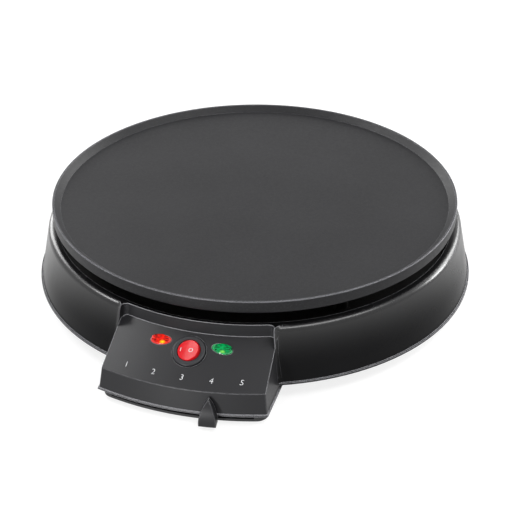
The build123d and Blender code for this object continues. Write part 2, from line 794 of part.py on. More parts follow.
def sensor_head():
    """Metal cap that takes the plate's heat down to the thermostat."""
    return rod(sensor_radius, web_top + thermostat_height, plate_underside - sensor_gap)


def thermostat_shaft():
    return rod(shaft_radius, hub_z, web_top + shaft_depth)


# ---- lever, drawn straight ahead and then turned to its mark ----
def lever_arm():
    """Hub and strip; the strip steps down in the pod and runs out under its front wall."""
    t = arm_thickness
    end = knob_back(arm_foot_z) + knob_socket_length
    step = arm_step_radius
    outline = [(0, arm_z), (step - t, arm_z), (step - t, arm_foot_z), (end, arm_foot_z),
               (end, arm_foot_z + t), (step, arm_foot_z + t), (step, arm_z + t), (0, arm_z + t)]
    side_view = make_face(Polyline(*[(0, -r, z) for r, z in outline], close=True))
    arm = extrude(side_view, arm_width / 2, both=True) + rod(hub_radius, hub_z, hub_top)
    arm -= rod(shaft_radius + shaft_clearance, 0, far)
    arm -= grub_way(grub_radius + pilot_clearance, 2 * hub_radius, start=0)
    return Rot(0, 0, lever_angle) * arm


def grub_way(radius, reach, start=shaft_radius + shaft_clearance):
    """Rod through the rear of the hub, in line with the arm and above it."""
    way = Plane((0, start, grub_z), x_dir=(1, 0, 0), z_dir=(0, 1, 0))
    return way.location * Cylinder(radius, reach - start, align=(Align.CENTER, Align.CENTER, Align.MIN))


def hub_screw():
    return Rot(0, 0, lever_angle) * grub_way(grub_radius, hub_radius)


def knob_back(z):
    """Radius of the knob's rear face, clear of the pod's flange and then along its front wall."""
    flange_z = pod_z + flange_height
    return pod_front(max(z, flange_z)) + flange_out + knob_clearance


def lever_knob():
    """Pointed tab: an arch in front view, its face bowed and leaning back."""
    bottom = arm_foot_z - knob_bottom_gap
    shoulder = bottom + knob_shoulder
    tip = shoulder + knob_arch
    half = knob_width / 2
    swing = (half ** 2 + knob_arch ** 2) / (2 * half)
    bow = acos(1 - half / swing) / 2
    bow_x, bow_z = half - swing * (1 - cos(bow)), shoulder + swing * sin(bow)
    front_view = make_face([
        Polyline((-half, 0, shoulder), (-half, 0, bottom), (half, 0, bottom), (half, 0, shoulder)),
        ThreePointArc((half, 0, shoulder), (bow_x, 0, bow_z), (0, 0, tip)),
        ThreePointArc((0, 0, tip), (-bow_x, 0, bow_z), (-half, 0, shoulder)),
    ])
    front = knob_back(bottom) + knob_depth
    tip_front = (knob_back(tip) + knob_tip_depth, 0, tip)
    belly = (front - knob_belly_inset, 0, bottom + knob_belly)
    side_view = make_face([
        ThreePointArc((front, 0, bottom), belly, tip_front),
        Polyline(tip_front, (knob_back(tip), 0, tip), (knob_back(bottom), 0, pod_z + flange_height),
                 (knob_back(bottom), 0, bottom), (front, 0, bottom)),
    ])
    tab = extrude(front_view, far, dir=(0, -1, 0)) & spun(side_view, knob_arc)
    tab = fillet([e for e in tab.edges() if is_knob_rim(e, bottom)], knob_round)
    gap = knob_socket_clearance
    socket = block(arm_width + 2 * gap, 2 * (knob_socket_length + gap), arm_foot_z - gap,
                   arm_foot_z + arm_thickness + gap, at=(0, -knob_back(bottom)))
    return Rot(0, 0, lever_angle) * (tab - socket)


def is_knob_rim(edge, bottom):
    """Long edges around the knob's front face, without its bottom."""
    centre = edge.center()
    in_front = -centre.Y > knob_back(centre.Z) + 0.75 * knob_tip_depth
    return edge.length > 4 and in_front and centre.Z > bottom + 0.5 and abs(centre.X) > 0.5


# ---- rocker switch, in the panel's frame ----
def switch_housing():
    body = rod(barrel_radius, -barrel_depth, -bezel_seat) + rod(bezel_radius, -bezel_seat, bezel_proud)
    body = fillet(circles_at(body, bezel_proud), bezel_round)
    body -= rod(barrel_bore, barrel_floor - barrel_depth, far)
    body -= pin_rod(rocker_pin_radius + rocker_pin_clearance, pin_half_length + rocker_pin_clearance)
    return switch_frame() * body


def pin_rod(radius, half_length):
    """Rod along the rocker's pivot."""
    return Pos(0, 0, rocker_pivot) * Rot(90, 0, 0) * Cylinder(radius, 2 * half_length)


def rocker():
    """Ball-sided button with a dished top, rest with its left side pressed."""
    reach = 2 * rocker_radius
    edge_z = rocker_crown + tan(radians(rocker_tilt)) * reach
    end_view = make_face([
        ThreePointArc((-reach, 0, edge_z), (0, 0, rocker_crown), (reach, 0, edge_z)),
        Polyline((reach, 0, edge_z), (reach, 0, -rocker_depth), (-reach, 0, -rocker_depth),
                 (-reach, 0, edge_z)),
    ])
    button = Sphere(rocker_radius) & extrude(end_view, reach, both=True)
    rim = [e for e in button.edges() if e.center().Z > rocker_crown]
    button = fillet(rim, rocker_edge_round)
    button -= Rot(90, 0, 0) * Cylinder(rocker_pin_radius + rocker_pin_clearance, 2 * reach)
    return switch_frame() * Pos(0, 0, rocker_pivot) * Rot(0, -rocker_tilt, 0) * button


def rocker_pin():
    return switch_frame() * pin_rod(rocker_pin_radius, pin_half_length)


def switch_terminals():
    low = -barrel_depth - blade[2]
    places = (-switch_blade_pitch, 0, switch_blade_pitch)
    return [switch_frame() * block(blade[0], blade[1], low, -barrel_depth, at=(x, 0)) for x in places]


# ---- indicator lamps, in each lens's frame ----
def lens(side):
    """Oval window with a flange behind the panel."""
    face = lens_prism(0, -wall - lens_seat, lens_proud)
    face = fillet(circles_at(face, lens_proud), lens_round)
    return lens_frame(side) * (face + lens_prism(lens_flange, lens_back, -wall - lens_seat))


def lamp_floor():
    """Bottom of the lamp in its holder, in the lens's frame."""
    return lens_back - lamp_holder_length + lamp_holder_wall


def lamp_holders():
    holders = []
    bore = lamp_radius + lamp_clearance
    for side in (-1, 1):
        cup = rod(bore + lamp_holder_wall, lens_back - lamp_holder_length, lens_back)
        holders.append(lens_frame(side) * (cup - rod(bore, lamp_floor(), 0)))
    return holders


def lamp(side):
    tube = rod(lamp_radius, lamp_floor(), lamp_floor() + lamp_length)
    return lens_frame(side) * fillet(tube.edges().sort_by(Axis.Z)[-1:], lamp_radius * 0.8)


# ---- mains entry and small electrical parts ----
def cord_gland():
    """Bush through the rear wall: a square neck, and a round flange that follows the skirt."""
    inner_end = -wall - gland_inner_length
    flange = rod(gland_flange_radius, -gland_flange_radius, gland_flange_thickness)
    shape = gland_axis() * flange - skirt_solid(-gland_clearance, lip_z)
    shape += gland_axis() * gland_neck(0, inner_end, gland_flange_thickness)
    return shape - gland_axis() * rod(gland_bore_radius, -far / 2, far / 2)


def terminal_block():
    x_size, y_size, height = block_size
    shape = block(x_size, y_size, cover_top, cover_top + height, at=(0, block_y))
    for x in (-block_pitch, 0, block_pitch):
        way = Pos(x, block_y, cover_top + height / 2) * Rot(90, 0, 0)
        shape -= way * Cylinder(lead_radius + lead_end_gap, y_size + 1)
        shape -= rod(screw_radius, cover_top + height / 2, far, at=(x, block_y))
    return shape


def thermal_cutout():
    x, y = cutout_place
    low = pan_floor_z - cutout_height
    shape = rod(cutout_radius, low, pan_floor_z, at=cutout_place)
    for side in (-1, 1):
        place = (x, y + side * cutout_radius / 2)
        shape += block(blade[1], blade[0], low - blade[2], low + blade_root, at=place)
    return shape


def earth_tab():
    x, y = earth_place
    width, length, thickness = earth_tab_size
    seat = pan_floor_z - thickness
    shape = block(width, length, seat, pan_floor_z, at=(x, y + length / 4))
    shape += block(earth_blade_width, thickness, pan_floor_z - earth_blade_drop, pan_floor_z,
                   at=(x, earth_blade_y() - thickness / 2))
    shape -= rod(screw_radius + hole_clearance, 0, far, at=earth_place)
    return [shape, screw(x, y, seat, thickness + pan_thickness + sheet_screw_tip, head_down=True)]


def earth_blade_y():
    return earth_place[1] + 0.75 * earth_tab_size[1]


# ---- wiring ----
def lead(*points):
    """Insulated wire through the points, each corner as round as its two runs allow."""
    radii = []
    for before, here, after in zip(points, points[1:], points[2:]):
        half_turn = radians((here - before).get_angle(after - here)) / 2
        radii.append(0.45 * min((here - before).length, (after - here).length) / tan(half_turn))
    path = FilletPolyline(*points, radius=radii)
    section = Plane(path @ 0, z_dir=path % 0) * Circle(lead_radius)
    return sweep(section, path=path)


def spot(frame, x, y, z):
    """Point given in a local frame, in the part's own axes."""
    return (frame * Pos(x, y, z)).position


def lane(*angles):
    """Points of a wire that runs round the base, inside the bosses."""
    return [polar(lane_radius, angle, lane_z) for angle in angles]


def from_end(end, *steps):
    """Points at given steps from a wire's end."""
    return [end + Vector(*step) for step in steps]


def block_end(x):
    return Vector(x, block_y - block_size[1] / 2 - lead_end_gap, cover_top + block_size[2] / 2)


def element_end(side):
    """Lower end of an element blade."""
    place = leg_place(side)
    low = pan_floor_z - element_leg_below_pan - terminal_pin_length - blade[2]
    return Vector(place.X, place.Y, low - lead_end_gap)


def thermostat_end(side):
    reach = thermostat_radius + blade[2] + lead_end_gap
    return Vector(0, side * reach, web_top + thermostat_blade_rise + blade[0] / 2)


def cutout_end(side):
    x, y = cutout_place
    return Vector(x, y + side * cutout_radius / 2, pan_floor_z - cutout_height - blade[2] - lead_end_gap)


def switch_end(x):
    """Where a wire meets one of the switch's blades, and a point straight below it."""
    low = -barrel_depth - blade[2] - lead_end_gap
    return spot(switch_frame(), x, 0, low), spot(switch_frame(), x, 0, low - lead_end_run)


def live_leads():
    """Block to switch, switch to thermostat, thermostat to cut-out, cut-out to element."""
    start = block_end(block_pitch)
    outer, outer_approach = switch_end(switch_blade_pitch)
    from_block = lead(start, *from_end(start, (3, -12.7, 0.5), (21, -18.7, 3)),
                      *lane(148, 127, 105, 83, 62, 40, 22),
                      *from_end(outer_approach, (14.5, 12, 1)), outer_approach, outer)

    run = 2 * lead_end_run
    middle, middle_approach = switch_end(0)
    front, rear = thermostat_end(-1), thermostat_end(1)
    to_thermostat = lead(middle, middle_approach, *from_end(middle_approach, (0, 14, 0.5), (0.5, 36, 3.5)),
                         *from_end(front, (0, -67.7, -3.4), (0, -35.7, -0.6), (0, -run, 0.4)), front)

    near, far_side = cutout_end(-1), cutout_end(1)
    to_cutout = lead(rear, *from_end(rear, (0, run, 0), (5, 18.7, -1.9), (18, 26.7, -6.4)),
                     *from_end(near, (-13, 9, -4.2), (0, 0, -run)), near)

    end = element_end(1)
    to_element = lead(far_side, *from_end(far_side, (0, 0, -run), (0, 12, -7.2), (-6, 30, -7.7)),
                      *from_end(end, (11.7, -9.7, -4.2), (0, 0, -0.8 * run)), end)
    return [from_block, to_thermostat, to_cutout, to_element]


def neutral_leads():
    """Block to element, and element to the power lamp."""
    start, end = block_end(-block_pitch), element_end(-1)
    to_element = lead(start, *from_end(start, (-1, -8.7, -1)),
                      *from_end(end, (1.8, 7.3, -4.5), (0, 0, -1.6 * lead_end_run)), end)

    tap = end + Vector(-blade[0] / 2 - lead_end_gap, 0, blade[2] / 2)
    low = lens_back - lamp_holder_length - lead_end_gap
    holder, approach = spot(lens_frame(-1), 0, 0, low), spot(lens_frame(-1), 0, 0, low - lead_end_run)
    to_lamp = lead(tap, *from_end(tap, (-17, -0.7, 0)), *lane(-147, -127, -105, -83, -62, -40, -24),
                   *from_end(approach, (-8.9, 11.3, -2.1)), approach, holder)
    return [to_element, to_lamp]


def earth_lead():
    start = block_end(0)
    end = Vector(earth_place[0], earth_blade_y() + lead_end_gap, pan_floor_z - 0.7 * earth_blade_drop)
    return lead(start, *from_end(start, (0, -12.7, 1.5), (-2, -27.7, 5)),
                *from_end(end, (34, 29.7, -6), (18, 20.7, -3.5), (4, 12, -1), (0, lead_end_run, 0)), end)


def lamp_leads():
    """Short links from the lamp holders to the switch's outer blades."""
    links = []
    wall_x = lamp_radius + lamp_clearance + lamp_holder_wall + lead_end_gap
    blade_x = switch_blade_pitch + blade[0] / 2 + lead_end_gap
    holder_z, blade_z = lamp_floor() + lamp_holder_wall, -barrel_depth - blade[2] / 2
    for side in (-1, 1):
        links.append(lead(
            spot(lens_frame(side), -side * wall_x, 0, holder_z),
            spot(lens_frame(side), -side * (wall_x + lead_end_run), 0, holder_z),
            spot(switch_frame(), side * (blade_x + lead_end_run), blade[1] / 5, blade_z),
            spot(switch_frame(), side * blade_x, blade[1] / 5, blade_z)))
    return links


# ---- every node, moved to the footprint's middle and written ----
nodes = {
    "base_housing": base_housing(),
    "bottom_cover": bottom_cover(),
    "pod_cover": pod_cover(),
    "rubber_feet": rubber_feet(),
    "cover_screws": cover_screws(),
    "pod_cover_screws": pod_cover_screws(),
    "hot_plate": hot_plate(),
    "support_posts": support_posts(),
    "post_screws": post_screws(),
    "reflector_pan": reflector_pan(),
    "pan_screws": pan_screws(),
    "heating_element": heating_element(),
    "element_terminals": element_terminals(),
    "element_clips": element_clips(),
    "clip_screws": clip_screws(),
    "thermostat_bracket": thermostat_bracket(),
    "bracket_screws": bracket_screws(),
    "thermostat_body": thermostat_body(),
    "thermostat_nut": thermostat_nut(),
    "sensor_head": sensor_head(),
    "thermostat_shaft": thermostat_shaft(),
    "lever_arm": lever_arm(),
    "hub_screw": hub_screw(),
    "lever_knob": lever_knob(),
    "switch_housing": switch_housing(),
    "rocker": rocker(),
    "rocker_pin": rocker_pin(),
    "switch_terminals": switch_terminals(),
    "power_lens": lens(-1),
    "ready_lens": lens(1),
    "power_lamp": lamp(-1),
    "ready_lamp": lamp(1),
    "lamp_holders": lamp_holders(),
    "cord_gland": cord_gland(),
    "terminal_block": terminal_block(),
    "thermal_cutout": thermal_cutout(),
    "earth_tab": earth_tab(),
    "live_leads": live_leads(),
    "neutral_leads": neutral_leads(),
    "earth_lead": earth_lead(),
    "lamp_leads": lamp_leads(),
}

knob_front_y = Compound(nodes["lever_knob"].solids()).bounding_box().min.Y
axis_y = -(lip_radius + knob_front_y) / 2

os.makedirs("parts", exist_ok=True)
for name, shape in nodes.items():
    pieces = shape if isinstance(shape, list) else [shape]
    solids = [solid for piece in pieces for solid in piece.solids()]
    whole = solids[0] if len(solids) == 1 else Compound(solids)
    export_step(Pos(0, axis_y, 0) * whole, f"parts/{name}.step")
print("base axis at y =", round(axis_y, 4))
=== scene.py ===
import json
import math
import bmesh
import bpy
from mathutils import Matrix, Vector
from mathutils.bvhtree import BVHTree


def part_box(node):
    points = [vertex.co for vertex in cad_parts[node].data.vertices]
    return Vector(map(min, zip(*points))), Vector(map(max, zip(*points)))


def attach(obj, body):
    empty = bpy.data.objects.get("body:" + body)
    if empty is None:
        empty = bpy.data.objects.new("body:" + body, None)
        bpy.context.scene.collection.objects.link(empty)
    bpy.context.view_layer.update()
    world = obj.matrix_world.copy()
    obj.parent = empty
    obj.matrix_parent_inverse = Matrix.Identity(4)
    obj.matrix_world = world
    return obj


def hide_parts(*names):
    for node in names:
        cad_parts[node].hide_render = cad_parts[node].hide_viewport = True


# Electric crepe maker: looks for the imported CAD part. Metres, +Z up, control pod towards -Y.
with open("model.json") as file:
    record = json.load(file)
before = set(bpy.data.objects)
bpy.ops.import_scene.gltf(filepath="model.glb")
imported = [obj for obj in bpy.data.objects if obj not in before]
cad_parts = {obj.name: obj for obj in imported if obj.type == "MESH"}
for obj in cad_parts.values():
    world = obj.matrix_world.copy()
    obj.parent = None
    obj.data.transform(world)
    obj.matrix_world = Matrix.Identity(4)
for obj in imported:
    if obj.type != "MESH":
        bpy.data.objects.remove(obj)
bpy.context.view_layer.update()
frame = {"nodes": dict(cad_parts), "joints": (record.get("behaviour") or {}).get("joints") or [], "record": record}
mm = 0.001
plateLow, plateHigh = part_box("hot_plate")
axisY = (plateLow.y + plateHigh.y) / 2   # the base's vertical axis is at x = 0 and this y
print("frame loaded:", len(frame["nodes"]), "CAD nodes")


# Camera

cameraSetup = {
    "place": (0.295526, -1.016349, 0.670654),
    "right": (0.962450, 0.271426, -0.004272),
    "up": (-0.137402, 0.500664, 0.854672),
    "lens": 112.5,
    "sensor": 36.0,
}


def makeCamera(setup):
    data = bpy.data.cameras.new("studioCamera")
    data.lens, data.sensor_width = setup["lens"], setup["sensor"]
    camera = bpy.data.objects.new("studioCamera", data)
    bpy.context.scene.collection.objects.link(camera)
    right, up = Vector(setup["right"]), Vector(setup["up"])
    turn = Matrix((right, up, right.cross(up))).transposed().to_4x4()
    camera.matrix_world = Matrix.Translation(setup["place"]) @ turn
    bpy.context.scene.camera = camera


makeCamera(cameraSetup)


# Materials

bevelSamples = 6
patchSpan = (0.3, 0.7)   # the part of a noise's range that is stretched over a look's own range


def hexColour(code):
    # sRGB hex to the linear values that the shaders read
    values = [int(code[i:i + 2], 16) / 255 for i in (1, 3, 5)]
    linear = [v / 12.92 if v <= 0.04045 else ((v + 0.055) / 1.055) ** 2.4 for v in values]
    return (*linear, 1.0)


def perMetre(millimetres):
    # a texture's scale for a feature of that size
    return 1000.0 / millimetres


def addNode(tree, kind, inputs=None, **settings):
    # an input is named, or numbered among those in use; it takes a value, an output, or a node or list
    # of nodes, of which the first output in use is linked
    node = tree.nodes.new(kind)
    for name, value in settings.items():
        setattr(node, name, value)
    inUse = [socket for socket in node.inputs if socket.enabled]
    for key, value in (inputs or {}).items():
        socket = inUse[key] if isinstance(key, int) else next(s for s in inUse if s.name == key)
        for source in value if isinstance(value, list) else [value]:
            if isinstance(source, bpy.types.Node):
                source = next(s for s in source.outputs if s.enabled)
            if isinstance(source, bpy.types.NodeSocket):
                tree.links.new(source, socket)
            else:
                socket.default_value = source
    return node


def startMaterial(name):
    # an empty material, with the object coordinates that its patterns read
    material = bpy.data.materials.new(name)
    material.use_nodes = True
    tree = material.node_tree
    tree.nodes.clear()
    return material, tree, addNode(tree, "ShaderNodeTexCoord").outputs["Object"]


# Injection-moulded black ABS. The skirt and shoulder come from a polished mould and reflect the
# room softly; the pod's faces come from a finely sparked mould and look greyer and flatter.
# Edges get a painted highlight, a pale colour along small radii outside the ring. Lengths in
# millimetres; "podRear", "wall" and the radius beyond which edges get that highlight are
# distances from the base's axis, "fade" and "shoulder" depths below the ring's top.
blackAbs = {
    "skirt": "#0b0b0c", "pod": "#222224", "haze": "#242426", "rubbed": "#a4a4a8", "hazeShare": 0.12,
    "skirtRough": (0.22, 0.3), "podRough": (0.36, 0.44),
    "skirtGloss": 0.07, "podGloss": 0.22, "shoulderGloss": 0.5,
    "fade": 34.0, "shoulder": 2.0, "fadePower": 2.5,
    "flow": 45.0, "spark": 1.4, "grain": 0.35, "depth": 0.012, "strength": 0.5,
    "skirtGrain": 0.5, "podGrain": 0.85,
    "podSide": 62.6, "sideDraft": 6.4, "podRear": 132.0, "podTop": 54.5, "wall": 153.4, "handled": 149.0,
    "edge": 0.9, "edgeTurn": (0.995, 0.88),   # the cosines where the painted edge highlight starts and is full
}


def mouldedBlackAbs(look):
    material, tree, place = startMaterial("polishedMouldedAbs")
    made = dict(zip("xyz", addNode(tree, "ShaderNodeSeparateXYZ", {"Vector": place}).outputs))
    plan = addNode(tree, "ShaderNodeVectorMath", {0: place, 1: (0, axisY, 0)}, operation="SUBTRACT")
    plan = addNode(tree, "ShaderNodeVectorMath", {0: plan, 1: (1, 1, 0)}, operation="MULTIPLY")
    made["fromAxis"] = addNode(tree, "ShaderNodeVectorMath", {0: plan}, operation="LENGTH")
    for name, detail in (("flow", 3.0), ("spark", 2.0), ("grain", 2.0)):
        made[name] = addNode(tree, "ShaderNodeTexNoise", {"Vector": place, "Scale": perMetre(look[name]),
                             "Detail": detail})
    rounded = addNode(tree, "ShaderNodeBevel", {"Radius": look["edge"] * mm}, samples=bevelSamples)
    facing = addNode(tree, "ShaderNodeNewGeometry").outputs["True Normal"]
    made["turn"] = addNode(tree, "ShaderNodeVectorMath", {0: rounded, 1: facing}, operation="DOT_PRODUCT")

    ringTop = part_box("base_housing")[1].z
    for name, source, start, end, low, high in (
            ("edges", "turn", *look["edgeTurn"], 0.0, 1.0),   # 1 along small radii, 0 on open faces
            ("rise", "z", ringTop - look["fade"] * mm, ringTop - look["shoulder"] * mm, 0.0, 1.0),
            ("hazed", "flow", *patchSpan, 0.0, look["hazeShare"]),
            ("skirtRough", "flow", *patchSpan, *look["skirtRough"]),
            ("podRough", "spark", *patchSpan, *look["podRough"])):
        made[name] = addNode(tree, "ShaderNodeMapRange", {"Value": made[source], "From Min": start,
                             "From Max": end, "To Min": low, "To Max": high})
    for name, operation, *terms in (
            ("side", "ABSOLUTE", "x"),
            ("lean", "MULTIPLY", "z", math.tan(math.radians(look["sideDraft"]))),
            ("reach", "ADD", "side", "lean"),
            ("across", "LESS_THAN", "reach", look["podSide"] * mm),
            ("ahead", "LESS_THAN", "y", axisY - look["podRear"] * mm),
            ("below", "LESS_THAN", "z", look["podTop"] * mm),
            ("outside", "GREATER_THAN", "fromAxis", look["wall"] * mm),
            ("inPlan", "MULTIPLY", "across", "ahead"),
            ("inHeight", "MULTIPLY", "below", "outside"),
            ("pod", "MULTIPLY", "inPlan", "inHeight"),
            # edges farther from the axis than this get the painted highlight
            ("handled", "GREATER_THAN", "fromAxis", look["handled"] * mm),
            ("rubbed", "MULTIPLY", "edges", "handled"),
            ("polish", "POWER", "rise", look["fadePower"]),
            ("coarse", "MULTIPLY_ADD", "pod", look["podGrain"], look["skirtGrain"]),
            ("relief", "MULTIPLY", "grain", "coarse")):
        inputs = {index: made[term] if isinstance(term, str) else term for index, term in enumerate(terms)}
        made[name] = addNode(tree, "ShaderNodeMath", inputs, operation=operation)

    # the pod's tone, random flow haze, and last a painted highlight, a pale colour along the edges
    colour = hexColour(look["skirt"])
    for share, over in (("pod", "pod"), ("hazed", "haze"), ("rubbed", "rubbed")):
        colour = addNode(tree, "ShaderNodeMix", {"Factor": made[share], "A": colour,
                         "B": hexColour(look[over])}, data_type="RGBA")
    gloss = addNode(tree, "ShaderNodeMapRange", {"Value": made["polish"], "To Min": look["skirtGloss"],
                    "To Max": look["shoulderGloss"]})
    gloss = addNode(tree, "ShaderNodeMix", {"Factor": made["pod"], "A": gloss, "B": look["podGloss"]})
    rough = addNode(tree, "ShaderNodeMix", {"Factor": made["pod"], "A": made["skirtRough"],
                    "B": made["podRough"]})
    bump = addNode(tree, "ShaderNodeBump", {"Height": made["relief"], "Distance": look["depth"] * mm,
                   "Strength": look["strength"], "Normal": rounded})
    shader = addNode(tree, "ShaderNodeBsdfPrincipled", {"IOR": 1.5, "Base Color": colour, "Roughness": rough,
                     "Specular IOR Level": gloss, "Normal": bump})
    addNode(tree, "ShaderNodeOutputMaterial", {"Surface": shader})
    return material


# Sprayed and baked dark grey fluoropolymer on cast aluminium: fine pale specks in a satin grey
# film, slightly uneven in tone. Painted shade darkens its creases, and a painted highlight, a pale
# colour, lies along its open edges. Lengths in millimetres; "reach" is how near a wall has to be
# for shade to be painted into a crease.
coating = {
    "film": "#141416", "pale": "#2f2f31", "rubbed": "#b0b0b6", "crease": "#0c0c0d",
    "speck": (0.9, 1.0), "tone": (60.0, 2.0), "orange": (2.2, 2.0), "relief": (0.9, 2.0),   # size and detail
    "speckSpan": (0.52, 0.75), "speckShare": 0.55, "toneShare": 0.16, "rough": (0.4, 0.5), "gloss": 0.34,
    "reach": 4.0, "reachSamples": 16, "openSpan": (0.9, 0.99), "creaseSpan": (0.7, 0.95),
    "edge": 1.0, "edgeTurn": (0.995, 0.92), "round": 0.6, "depth": 0.02, "strength": 0.7,
}


def nonStickCoating(look):
    material, tree, place = startMaterial("speckledNonStickCoating")
    made = {}
    for name in ("speck", "tone", "orange", "relief"):
        size, detail = look[name]
        made[name] = addNode(tree, "ShaderNodeTexNoise", {"Vector": place, "Scale": perMetre(size),
                             "Detail": detail})
    # ambient occlusion, read to paint shade into creases and to keep the painted highlight off inner edges
    shut = addNode(tree, "ShaderNodeAmbientOcclusion", {"Distance": look["reach"] * mm},
                   samples=look["reachSamples"])
    made["shut"] = shut.outputs["AO"]
    smoothed, rounded = (addNode(tree, "ShaderNodeBevel", {"Radius": look[name] * mm}, samples=bevelSamples)
                         for name in ("edge", "round"))
    facing = addNode(tree, "ShaderNodeNewGeometry").outputs["True Normal"]
    made["turn"] = addNode(tree, "ShaderNodeVectorMath", {0: smoothed, 1: facing}, operation="DOT_PRODUCT")
    for name, source, start, end, low, high in (
            ("specks", "speck", *look["speckSpan"], 0.0, look["speckShare"]),
            ("paler", "tone", *patchSpan, 0.0, look["toneShare"]),
            ("rough", "orange", *patchSpan, *look["rough"]),
            ("edges", "turn", *look["edgeTurn"], 0.0, 1.0),
            ("open", "shut", *look["openSpan"], 0.0, 1.0),
            ("flat", "shut", *look["creaseSpan"], 0.0, 1.0)):
        made[name] = addNode(tree, "ShaderNodeMapRange", {"Value": made[source], "From Min": start,
                             "From Max": end, "To Min": low, "To Max": high})
    # the painted highlight only on open, outward edges
    made["rubbed"] = addNode(tree, "ShaderNodeMath", {0: made["edges"], 1: made["open"]}, operation="MULTIPLY")

    # tone patches and specks, then painted shade in the creases and a painted highlight on open edges
    made["coat"] = hexColour(look["film"])
    for share, first, second in (("paler", "coat", "pale"), ("specks", "coat", "pale"),
                                 ("flat", "crease", "coat"), ("rubbed", "coat", "rubbed")):
        ends = [made["coat"] if end == "coat" else hexColour(look[end]) for end in (first, second)]
        made["coat"] = addNode(tree, "ShaderNodeMix", {"Factor": made[share], "A": ends[0], "B": ends[1]},
                               data_type="RGBA")
    bump = addNode(tree, "ShaderNodeBump", {"Height": made["relief"], "Distance": look["depth"] * mm,
                   "Strength": look["strength"], "Normal": rounded})
    shader = addNode(tree, "ShaderNodeBsdfPrincipled", {"IOR": 1.38, "Specular IOR Level": look["gloss"],
                     "Base Color": made["coat"], "Roughness": made["rough"], "Normal": bump})
    addNode(tree, "ShaderNodeOutputMaterial", {"Surface": shader})
    return material


# Earth wire: green PVC with a yellow stripe that winds slowly along it
earthWire = {"green": "#3f9a35", "yellow": "#d8c92f", "pitch": 20.0, "wander": 1.0, "stripe": 0.6,
             "waxy": 2.0, "rough": (0.38, 0.5), "relief": 0.8, "depth": 0.01, "strength": 0.4}


def earthInsulation(look):
    material, tree, place = startMaterial("greenYellowInsulation")
    wave = addNode(tree, "ShaderNodeTexWave", {"Vector": place, "Scale": perMetre(look["pitch"]),
                   "Distortion": look["wander"]})
    stripe = addNode(tree, "ShaderNodeMath", {0: wave.outputs["Fac"], 1: look["stripe"]},
                     operation="GREATER_THAN")
    colour = addNode(tree, "ShaderNodeMix", {"Factor": stripe, "A": hexColour(look["green"]),
                     "B": hexColour(look["yellow"])}, data_type="RGBA")
    waxy, relief = (addNode(tree, "ShaderNodeTexNoise", {"Vector": place, "Scale": perMetre(look[name])})
                    for name in ("waxy", "relief"))
    rough = addNode(tree, "ShaderNodeMapRange", {"Value": waxy, "From Min": patchSpan[0],
                    "From Max": patchSpan[1], "To Min": look["rough"][0], "To Max": look["rough"][1]})
    bump = addNode(tree, "ShaderNodeBump", {"Height": relief, "Distance": look["depth"] * mm,
                   "Strength": look["strength"]})
    shader = addNode(tree, "ShaderNodeBsdfPrincipled", {"IOR": 1.53, "Base Color": colour, "Roughness": rough,
                     "Normal": bump})
    addNode(tree, "ShaderNodeOutputMaterial", {"Surface": shader})
    return material


